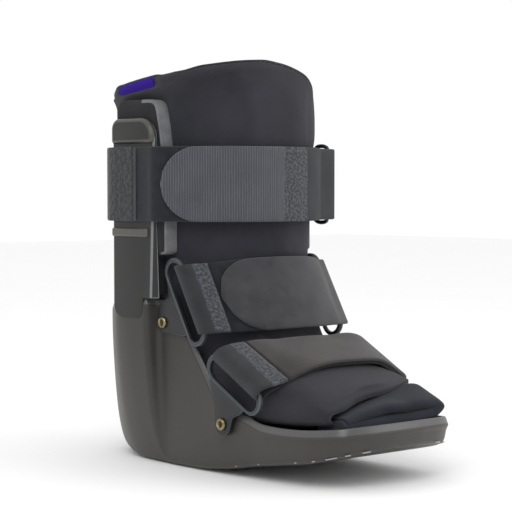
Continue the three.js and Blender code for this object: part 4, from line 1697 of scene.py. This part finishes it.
@dataclass
class SlottedStrap:
    """A strap that is sewn round the near plate's bar, turns through the far slot and comes back."""

    name: str
    node: str
    slot: tuple[Pair, Pair]
    plane: float
    lead: Pair
    width_at_middle: Point
    half_route: Sequence[Pair]
    tab_end: float
    free_end: float
    plate: float = 3.2
    slack: float = 0.6
    thickness: float = 2.2
    reach: float = 0.4
    slot_radius: float = 2.6
    full_width: float = 50.0
    sewn: float = 11.5
    near_shift: float = 3.0
    far_shift: float = 1.0
    rounded_end: bool = True
    finish: ClothFinish = LOOP_CLOTH

    def offset(self, route: Sequence[Pair], distance: float) -> list[Pair]:
        """Moves a flat route to its left.

        Args:
            route: the route's points.
            distance: how far it moves.

        Returns:
            The moved points.
        """
        moved = []
        for i, (x, q) in enumerate(route):
            before, after = route[max(i - 1, 0)], route[min(i + 1, len(route) - 1)]
            way = Vector((after[0] - before[0], after[1] - before[1])).normalized()
            moved.append((x - way.y * distance, q + way.x * distance))
        return moved

    def on_route(self, route: Sequence[Pair], x: float) -> Pair:
        """Finds the place of a route at a given X.

        Args:
            route: the route's points.
            x: the X.

        Returns:
            The point on the route.
        """
        for a, b in zip(route, route[1:]):
            if (a[0] - x) * (b[0] - x) <= 0:
                return x, mix(a[1], b[1], (x - a[0]) / (b[0] - a[0]))
        raise ValueError(f"{self.name}: the route does not reach {x}")

    def route(self) -> np.ndarray:
        """Works out the whole route in space.

        Returns:
            The route's points, in millimetres.
        """
        inner = self.plane - self.slack - self.thickness / 2
        outer = self.plane + self.plate + self.slack + self.thickness / 2
        turn = [(inner, 4.6), (inner + 0.2, 2.2), (self.plane + 0.4, 0.1), (self.plane + 2.8, 0.1)]
        turn += [(outer - 0.2, 2.2), (outer, 5.4), (self.plane + 3.1, 8.9)]
        bulge = [*turn[:3], (self.plane + 3.0, -0.3), (outer + 1.3, 2.4), (outer + 1.7, 6.2)]
        bulge.append((self.plane + 4.2, 10.2))
        far_half = list(reversed(self.half_route))
        near_half = [(-x, q) for x, q in self.half_route]
        base = [*near_half, *far_half[1:]]
        cover = list(reversed(self.offset(base, self.thickness + self.reach)))[1:-1]
        near_turn = [(-x, q + self.near_shift) for x, q in reversed(bulge)]
        turn = [(x, q + self.far_shift) for x, q in turn]
        base = base[1:-1]
        tab = [(x, q) for x, q in cover if x < self.tab_end - 4]
        back = [(x, q) for x, q in cover if x > self.free_end + 4]
        flat = [self.on_route(cover, self.tab_end), *tab, *near_turn, *base, *turn, *back]
        flat.append(self.on_route(cover, self.free_end))
        rear, front = self.slot
        middle = ((rear[0] + front[0]) / 2, (rear[1] + front[1]) / 2)
        points = [(x, middle[0] + self.lead[0] * q, middle[1] + self.lead[1] * q) for x, q in flat]
        return np.array(points, float)

    def across(self, point: np.ndarray) -> np.ndarray:
        """Works out the direction of the width, which turns to the slot's line near the plates.

        Args:
            point: a point of the route.

        Returns:
            The direction.
        """
        rear, front = self.slot
        along = Vector((rear[0] - front[0], rear[1] - front[1])).normalized()
        share = ease(abs(float(point[0])), 20, self.plane - 3)
        at_slot = np.array((0.0, -along.x, -along.y))
        return np.array(self.width_at_middle) * (1 - share) + at_slot * share

    def strap_width(self) -> float:
        """Returns the width that the slot lets through."""
        rear, front = self.slot
        return min(self.full_width, math.dist(rear, front) + 2 * self.slot_radius - 2)

    def build(self) -> None:
        """Builds and dresses the strap."""
        strip = Strip(self.name, self.route(), self.across, self.strap_width(), self.thickness)
        strip.rounded_end = self.rounded_end
        near = float(strip.lengths[int(np.argmin(strip.points[:, 0]))]) + 9.0
        far = float(strip.lengths[int(np.argmax(strip.points[:, 0]))]) - 6.0
        ends = (0.0, self.sewn, near, far, strip.total + 1)
        strip.zones = list(zip(ends, ends[1:], (1, 2, 3, 0)))
        strip.lay(self.node, [self.finish, SEWN_WEBBING, WEBBING_FOLD, DARK_LOOP])


MID_SLOT = ((23, 132.5), (-2.5, 88.8))
FOOT_SLOT = ((-19.5, 72.5), (-58, 51.5))
MID_RIVET = (34, 95)
FOOT_RIVET = (-27, 34)
MID_PLANE = 59.0
FOOT_PLANE = 60.5

MID_STRAP = SlottedStrap(
    name="ankle_strap",
    node="mid_strap",
    slot=MID_SLOT,
    plane=MID_PLANE,
    lead=(-0.99, 0.14),
    width_at_middle=(0, -0.4, -0.917),
    half_route=[(56.8, 6.5), (50, 13.6), (38, 22.4), (20, 29.4), (0, 31.9)],
    tab_end=-49.2,
    free_end=-47.3,
)
FOOT_STRAP = SlottedStrap(
    name="instep_strap",
    node="foot_strap",
    slot=FOOT_SLOT,
    plane=FOOT_PLANE,
    lead=(-0.697, 0.717),
    width_at_middle=(0, -0.965, -0.26),
    half_route=[(57.6, 8), (50.5, 14.2), (35, 19.9), (18, 22.1), (0, 22.7)],
    tab_end=-48,
    free_end=-46.5,
    rounded_end=False,
    finish=WORN_LOOP,
)


@dataclass
class ShinStraps:
    """The shin strap with its ring, and the strap round the back of the leg."""

    bottom: float = 161.0
    width: float = 49.0
    thickness: float = 2.2
    reach: float = 0.4
    wire: float = 1.75
    ring_front: Pair = (71.6, 17)
    ring_rear: Pair = (70.6, 29)
    upright_outside: float = 69.0
    upright_rear: float = 79.0
    tab_front: float = 50.0
    shin: Sequence[Pair] = ((0, -17.2), (12, -16.4), (25, -13.2), (36, -7), (51, 8.5), (66.8, 25.4))
    back_half: Sequence[Pair] = ((62.5, 91), (48.5, 108.8), (33.5, 121.5), (16, 128.6), (0, 130.2))
    free_end: Pair = (-69.6, 26.2)
    sewn: Pair = (16.5, -4.0)

    def in_space(self, flat: Sequence[Pair]) -> np.ndarray:
        """Returns a plan route at the strap's height."""
        middle = self.bottom + 25.0
        return np.array([(x, y, middle) for x, y in flat], float)

    def up(self, _: np.ndarray) -> np.ndarray:
        """Returns the direction of the width."""
        return np.array((0.0, 0.0, 1.0))

    def build_front(self) -> None:
        """Builds the strap across the shin, through the ring and back."""
        face = self.upright_outside + self.reach + self.thickness / 2
        layer = self.thickness + self.reach
        turn = self.wire + 2 * self.reach + self.thickness / 2
        far_half = list(self.shin[:-1])
        near_half = [(-x, y) for x, y in reversed(self.shin)][:-1]
        along = [(-face, y) for y in (self.upright_rear - 6, 55, 38)]
        base = [*along, (-70.9, 34), (-69.8, 30.4), *near_half, *far_half]
        bar_x, bar_y = self.ring_front
        ways = ((-0.67, 0.74), (0.2, 1), (0.94, 0.34), (0.67, -0.74))
        fold = [(bar_x + x * turn, bar_y + y * turn) for x, y in ways]
        cover = list(reversed(MID_STRAP.offset([*near_half, *far_half], -layer)))
        route = self.in_space([*base, *fold, *cover, self.free_end])
        strip = Strip("shin_strap", route, self.up, self.width, self.thickness, rounded_end=True)
        far = int(np.argmax(strip.points[:, 0]))
        sewn = [float(np.interp(-x, -strip.points[far:, 0], strip.lengths[far:])) for x in self.sewn]
        ends = (0.0, strip.lengths[far] - 10.0, *sewn, strip.total + 1)
        strip.zones = list(zip(ends, ends[1:], (3, 2, 1, 0)))
        strip.lay("top_strap", [HOOK_RIBS, SEWN_WEBBING, WEBBING_FOLD, DARK_LOOP])

    def build_back(self) -> None:
        """Builds the strap round the back of the leg and through the ring."""
        face = self.upright_outside + self.reach + self.thickness / 2
        second = face + self.thickness + self.reach
        turn = self.wire + 2 * self.reach + self.thickness / 2
        bar_x, bar_y = self.ring_rear
        near_back = [(-x, y) for x, y in self.back_half]
        ways = ((turn, 3), (turn, 0), (0.2, -turn), (-turn, -0.4), (-turn + 0.4, 3.4))
        loop = [(bar_x + x, bar_y + y) for x, y in ways]
        start = [(-second, self.tab_front), (-second, 62), (-second, 71), (-71.6, 79.6)]
        far_back = list(reversed(self.back_half[:-1]))
        on_upright = [(70.9, 81), (face, 74), (face, 56), (face + 0.6, 42)]
        route = self.in_space([*start, *near_back, *far_back, *on_upright, *loop])
        strip = Strip("calf_strap", route, self.up, self.width, self.thickness)
        # Painted highlight: the first 1.3 mm, the tab's end face, takes the pale finish.
        ends = (0.0, 1.3, 27.0, strip.total + 1)
        strip.zones = list(zip(ends, ends[1:], (2, 1, 0)))
        strip.lay("top_strap_back", [LOOP_CLOTH, SEWN_TAB, TAB_END_HIGHLIGHT])

    def build(self) -> None:
        """Builds the straps and the ring."""
        self.build_front()
        self.build_back()
        ring = new_piece("shin_ring", copied_node("top_ring"), [RING_PLASTIC])
        subdivide(ring, 2)
        settle(ring, Slot.PLATE, "top_ring")


@dataclass
class ToeFold:
    """The folded cloth layer that lies on the sole at the open toe."""

    middle_y: float = -102.5
    width: float = 26.0
    thickness: float = 7.4

    def across(self, point: np.ndarray) -> np.ndarray:
        """Returns the direction of the width: with the foot bed below, rising towards the flap above."""
        rise = 0.42 * ease(float(point[0]), -6, 20)
        return np.array((0.1, 1.0, mix(-0.12, rise, ease(float(point[2]), 41, 51))))

    def build(self) -> None:
        """Builds and dresses the fold."""
        lower = [(-41, 37.9), (-20, 37.6), (10, 37.6), (34, 38.6)]
        turn = [(42.8, 40.4), (47.2, 44.6), (44.5, 49.4)]
        upper = [(34, 51.0), (14, 49.6), (-4, 46.6), (-20, 43.6), (-38, 39.4)]
        route = np.array([(x, self.middle_y, z) for x, z in [*lower, *turn, *upper]], float)
        strip = Strip("toe_fold_cloth", route, self.across, self.width, self.thickness)
        strip.edge_steps, strip.face_steps = 8, 10
        piece = strip.build([TOE_CLOTH])
        Swelling(pressure=3.0, most=0.0012).apply(piece, "toe_fold")
        subdivide(piece, 1)
        settle(piece, Slot.CLOTH, "toe_fold")


@dataclass
class LabelTab:
    """The plain tape on the flap near its top edge."""

    first: float = -109.0
    last: float = -83.0
    top: float = 0.65
    bottom: float = 2.15
    lift: float = -0.9
    thickness: float = 0.9
    length: float = 27.0
    height: float = 10.0

    def build(self) -> None:
        """Builds and dresses the tab."""
        columns = edge_lines(1.0, [0.0, 0.02, 0.05, 0.1], 0.05)
        rows = edge_lines(1.0, [0.0, 0.05, 0.1, 0.16], 0.12)

        def point(u: float, v: float, outward: float) -> Vector:
            """Finds a point of one face.

            Args:
                u: the share of the length.
                v: the share of the height.
                outward: 1 for the outer face and -1 for the inner one.

            Returns:
                The point in the part's frame.
            """
            edge = min(min(u, 1 - u) * self.length, min(v, 1 - v) * self.height)
            full = math.sqrt(max(0.0, 1 - (1 - min(edge / 0.5, 1.0)) ** 2))
            seam = 0.25 * bump(edge, 1.4, 0.35)
            inset = self.lift - outward * (self.thickness / 2 * full - seam)
            return boot_point(mix(self.top, self.bottom, v), mix(self.first, self.last, u), inset)

        def flat(u: float, v: float) -> Pair:
            """Returns the place on the flat tape."""
            return u * self.length * MM, v * self.height * MM

        bm = Surface(columns, rows, lambda u, v: point(u, v, 1.0), flat).build()
        Surface(columns, rows, lambda u, v: point(u, v, -1.0), flat).build(bm)
        piece = new_piece("tab_tape", closed(bm), [TAB_TAPE])
        subdivide(piece, 1)
        settle(piece, Slot.PURPLE, "label_tab")


@dataclass
class SidePads:
    """The foam pads between the cloth boot and the uprights."""

    front: float = 27.0
    rear: float = 80.0
    inside: float = 56.3
    outside: float = 65.0
    bottom: float = 112.0
    top: float = 242.0
    notch: float = 141.0
    step: float = 2.4
    lean: Sequence[Pair] = (
        # behind the front, below the top
        (15, 0),
        (12, 1.4),
        (10, 5),
        (6.2, 20),
        (3.2, 37),
        (0.8, 57),
        (-0.4, 80),
    )

    def outline(self) -> list[Pair]:
        """Works out the pad's outline.

        Returns:
            The points on the side plane, as Y and Z.
        """
        back = self.front + 11
        rear = arc((self.rear - 7, self.top - 7), 7, 0, 90)
        lean = [(self.front + ahead, self.top - drop) for ahead, drop in self.lean]
        lower_front = [(self.front - 0.6, self.notch), (back, self.notch - 3)]
        return [(back, self.bottom), (self.rear, self.bottom), *rear, *lean, *lower_front]

    def even_outline(self) -> list[Pair]:
        """Works out the outline with points at even steps.

        Returns:
            The points, as Y and Z.
        """
        points = np.array([*self.outline(), self.outline()[0]], float)
        lengths = np.concatenate([[0.0], np.cumsum(np.linalg.norm(np.diff(points, axis=0), axis=1))])
        count = round(float(lengths[-1]) / self.step)
        places = [lengths[-1] * i / count for i in range(count)]
        return [tuple(float(np.interp(p, lengths, points[:, axis])) for axis in (0, 1)) for p in places]

    def shape(self, side: Side) -> bmesh.types.BMesh:
        """Builds one pad from rings that run over its inner face, its cut edge and its outer face.

        Args:
            side: the side of the boot.

        Returns:
            The closed shape.
        """
        outline = self.even_outline()
        middle = np.mean(outline, axis=0)
        face = [(share, 0.0) for share in (0.02, 0.2, 0.4, 0.6, 0.78, 0.9)]
        steps = 6
        edge = [(1.0, i / steps) for i in range(steps + 1)]
        rings = [*face, (0.975, 0.0), *edge, (0.975, 1.0), *[(share, 1.0) for share, _ in reversed(face)]]
        count = len(outline)

        def place(u: float, v: float) -> Vector:
            """Finds a point of a ring.

            Args:
                u: the point of the outline.
                v: the ring.

            Returns:
                The point in the part's frame.
            """
            share, level = rings[int(v)]
            y, z = middle + (np.array(outline[int(u) % count]) - middle) * share
            swell = 0.0 if share == 1.0 and level not in (0.0, 1.0) else 0.35
            inside = self.inside - 1.9 * (1 - ease(y, 34, 44)) + swell
            x = mix(inside, self.outside - swell, level)
            return placed(side.value * x, y, z)

        def zone(u: float, v: float) -> int:
            """Finds the finish of a face.

            Args:
                u: the place on the outline.
                v: the place over the rings.

            Returns:
                1 on the cut edge above the notch, otherwise 0.
            """
            y, z = outline[int(u) % count]
            on_edge = len(face) < v < len(rings) - len(face) - 1
            return int(on_edge and z > self.notch - 1 and y < self.rear - 25)

        return closed(Surface(range(count + 1), range(len(rings)), place, zone=zone).build())

    def build(self) -> None:
        """Builds and dresses both pads."""
        for side, name in ((Side.RIGHT, "right"), (Side.LEFT, "left")):
            pad = new_piece(f"pad_{name}", self.shape(side), [PAD_CLOTH, FOAM_EDGE])
            Swelling(pressure=4.0, most=0.0015).apply(pad, f"side_pad_{name}")
            subdivide(pad, 1)
            settle(pad, Slot.FOAM, f"side_pad_{name}")


@dataclass
class SlottedPlate:
    """A plate that its rivet holds: a thick frame round a slot, and a thinner foot."""

    label: str
    slot: tuple[Pair, Pair]
    rivet: Pair
    plane: float
    foot_rear: Sequence[Pair]
    foot_radius: float
    foot_turn: float
    foot_front: Sequence[Pair]
    front_edge: float = 7.2
    rear_edge: float = 11.3
    slot_front: float = 4.4
    slot_rear: float = 9.3
    end_radius: float = 6.0
    thickness: float = 3.2
    proud: float = 0.35
    rounding: float = 0.8

    def capsule(self, ahead_edge: float, behind_edge: float, end: float) -> list[Pair]:
        """Makes a round-ended slot's outline.

        Args:
            ahead_edge: how far it reaches in front of the slot's line.
            behind_edge: how far it reaches behind it.
            end: how far it reaches past the line's ends.

        Returns:
            The outline's points, as Y and Z.
        """
        rear, front = Vector(self.slot[0]), Vector(self.slot[1])
        along = (rear - front).normalized()
        ahead = Vector((-along.y, along.x))
        radius = (ahead_edge + behind_edge) / 2
        moved = ahead * (ahead_edge - radius)
        ends = ((front + along * (radius - end), 90, 270), (rear - along * (radius - end), 270, 450))
        points = []
        for middle, start, stop in ends:
            for y, z in arc((0.0, 0.0), radius, start, stop, 14):
                spot = middle + moved + along * y + ahead * z
                points.append((spot.x, spot.y))
        return points

    def frame_shape(self, side: Side) -> bmesh.types.BMesh:
        """Builds the frame round the slot.

        Args:
            side: the side of the boot.

        Returns:
            The closed shape.
        """
        outer = self.capsule(self.front_edge, self.rear_edge, self.end_radius)
        inner = self.capsule(self.slot_front, self.slot_rear, self.end_radius - 3.2)
        r = self.rounding
        low, high = self.plane, self.plane + self.thickness + self.proud
        third = r / 3
        section = (
            # share from the slot's edge to the outer one, inset, level, lift
            (0, r, low, 0),
            (0, 0, low, r),
            (0, 0, high, -r),
            (0, third, high, -third),
            (0, r, high, 0),
            (1, -r, high, 0),
            (1, -third, high, -third),
            (1, 0, high, -r),
            (1, 0, low, r),
            (1, -r, low, 0),
        )
        count, turns = len(outer), len(section)

        def place(u: float, v: float) -> Vector:
            """Finds a point of the frame.

            Args:
                u: the place on the outline.
                v: the place round the section.

            Returns:
                The point in the part's frame.
            """
            start, end = Vector(inner[int(u) % count]), Vector(outer[int(u) % count])
            share, inset, level, lift = section[int(v) % turns]
            spot = start.lerp(end, share) + (end - start).normalized() * inset
            return placed(side.value * (level + lift), spot.x, spot.y)

        def zone(_: float, v: float) -> int:
            """Returns 1 on the rounded outer edges, which take the painted highlight."""
            return int(2 < v < 4 or 5 < v < 7)

        return closed(Surface(range(count + 1), range(turns + 1), place, zone=zone).build())

    def build(self) -> None:
        """Builds and dresses the plates of both sides."""
        radius, turn = self.foot_radius, self.foot_turn
        foot = [*self.foot_rear, *arc(self.rivet, radius, 0, turn, 12), *self.foot_front]
        for side, name in ((Side.RIGHT, "right"), (Side.LEFT, "left")):
            bm = self.frame_shape(side)
            add_panel(bm, side, foot, (self.plane + 0.3, self.plane + self.thickness), 0.7)
            piece = new_piece(f"{self.label}_plate_{name}_moulding", bm, [PLATE_PLASTIC, PLATE_EDGE_HIGHLIGHT])
            # Painted highlight: the slanted bevel faces take the pale edge finish.
            for face in piece.data.polygons:
                x, y, z = (abs(value) for value in face.normal)
                if 0.35 < x < 0.92 and max(y, z) > 0.3:
                    face.material_index = 1
            piece.data.set_sharp_from_angle(angle=SHARP)
            settle(piece, Slot.PLATE, f"{self.label}_plate_{name}")


MID_PLATE = SlottedPlate(
    label="mid",
    slot=MID_SLOT,
    rivet=MID_RIVET,
    plane=MID_PLANE,
    foot_rear=[(30.4, 124), (29.8, 118), (29.2, 112), (37, 108.5), (40, 104)],
    foot_radius=6.5,
    foot_turn=-90,
    foot_front=[(22, 87.6), (14, 87.2), (9.2, 88.2)],
)
FOOT_PLATE = SlottedPlate(
    label="foot",
    slot=FOOT_SLOT,
    rivet=FOOT_RIVET,
    plane=FOOT_PLANE,
    foot_rear=[(-14.6, 63.4), (-15.3, 58), (-19, 48)],
    foot_radius=7.5,
    foot_turn=-155,
    foot_front=[(-37, 39), (-43, 41.2), (-47.5, 44.6)],
)


@dataclass
class Rivets:
    """Brass eyelet rivets with a rolled rim round a dark hollow."""

    head: float = 4.0
    hole: float = 1.7
    height: float = 1.5
    shank: float = 2.1
    depth: float = 3.5
    seat: float = 3.55

    def profile(self) -> list[Pair]:
        """Works out the profile from the hollow's floor over the rolled rim to the shank.

        Returns:
            Radius and height of each point.
        """
        roll = []
        steps = 10
        middle, half = (self.head + self.hole) / 2, (self.head - self.hole) / 2
        for i in range(steps + 1):
            angle = math.pi * i / steps
            roll.append((middle - half * math.cos(angle), 0.2 + self.height * math.sin(angle)))
        shank = [(self.shank, 0.0), (self.shank, -self.depth)]
        return [(0.0, -0.4), (self.hole - 0.3, -0.4), *roll, (self.head, 0.0), *shank]

    def build(self) -> None:
        """Builds and dresses the rivets."""
        sets = (("mid", MID_RIVET, MID_PLANE), ("foot", FOOT_RIVET, FOOT_PLANE))
        for label, (y, z), plane in sets:
            for side, name in ((Side.RIGHT, "right"), (Side.LEFT, "left")):
                bm = bmesh.new()
                line = [bm.verts.new((height * MM, radius * MM, 0.0)) for radius, height in self.profile()]
                line.append(bm.verts.new((-self.depth * MM, 0.0, 0.0)))
                edges = [bm.edges.new(pair) for pair in zip(line, line[1:])]
                spin = {"axis": (1, 0, 0), "cent": (0, 0, 0), "steps": 32, "angle": 2 * math.pi}
                bmesh.ops.spin(bm, geom=[*line, *edges], use_merge=True, **spin)
                bmesh.ops.scale(bm, vec=(side.value, 1, 1), verts=bm.verts)
                bmesh.ops.translate(bm, verts=bm.verts, vec=placed(side.value * (plane + self.seat), y, z))
                piece = new_piece(f"rivet_{label}_{name}_brass", closed(bm), [RIVET_BRASS])
                piece.data.set_sharp_from_angle(angle=SHARP)
                settle(piece, Slot.BRASS, f"rivet_{label}_{name}")


@dataclass
class Studio:
    """The camera, the pale floor and the soft lights."""

    azimuth: float = -42.0
    elevation: float = 3.0
    distance: float = 1.15
    lens: float = 121.29
    aim: Point = (0.0, 0.0, 123.5)
    shift: Pair = (-12 / 512, 22 / 512)
    lights: Sequence[tuple[str, Point, float, float]] = (
        # name, place, size, power
        ("key", (-1.1, -0.9, 1.3), 0.9, 9.0),
        ("fill", (0.9, -1.3, 0.8), 1.0, 5.0),
    )

    def camera(self) -> None:
        """Places the camera at the photograph's viewing angle."""
        target = placed(*self.aim)
        a, e = math.radians(self.azimuth), math.radians(self.elevation)
        away = Vector((math.sin(a) * math.cos(e), -math.cos(a) * math.cos(e), math.sin(e)))
        data = bpy.data.cameras.new("camera")
        data.lens = self.lens
        data.sensor_width = 36.0
        data.shift_x, data.shift_y = self.shift
        camera = bpy.data.objects.new("camera", data)
        camera.location = target + away * self.distance
        camera.rotation_euler = (-away).to_track_quat("-Z", "Y").to_euler()
        bpy.context.scene.collection.objects.link(camera)
        bpy.context.scene.camera = camera

    def area(self, name: str, place: Point, size: float, power: float) -> None:
        """Adds a soft light that faces the boot.

        Args:
            name: the light's name.
            place: where it stands, in metres.
            size: the length of its side.
            power: its power in watts.
        """
        data = bpy.data.lights.new(name, "AREA")
        data.size = size
        data.energy = power
        light = bpy.data.objects.new(name, data)
        light.location = place
        light.rotation_euler = (Vector((0, 0, 0.12)) - light.location).to_track_quat("-Z", "Y").to_euler()
        bpy.context.scene.collection.objects.link(light)

    def build(self) -> None:
        """Sets up the studio."""
        self.camera()
        world = bpy.data.worlds.new("studio")
        world.use_nodes = True
        world.node_tree.nodes["Background"].inputs["Color"].default_value = (1.0, 1.0, 1.0, 1.0)
        world.node_tree.nodes["Background"].inputs["Strength"].default_value = 1.0
        bpy.context.scene.world = world
        bpy.context.scene.view_settings.view_transform = "Standard"
        for light in self.lights:
            self.area(*light)
        bm = bmesh.new()
        bmesh.ops.create_grid(bm, x_segments=4, y_segments=4, size=4.0)
        floor = new_piece("floor", bm, [PALE_FLOOR])


def main() -> None:
    """Builds the studio and every piece of the boot."""
    logging.basicConfig(level=logging.INFO, format="%(name)s %(message)s")
    Studio().build()
    flap = FrontFlap()
    for part in (
        BootShell(),
        flap,
        Liner(flap),
        ToeFold(),
        LabelTab(),
        SidePads(),
        MID_STRAP,
        FOOT_STRAP,
        ShinStraps(),
        MID_PLATE,
        FOOT_PLATE,
        Rivets(),
    ):
        part.build()
        log.info("built %s", type(part).__name__)


if __name__ == "__main__":
    main()
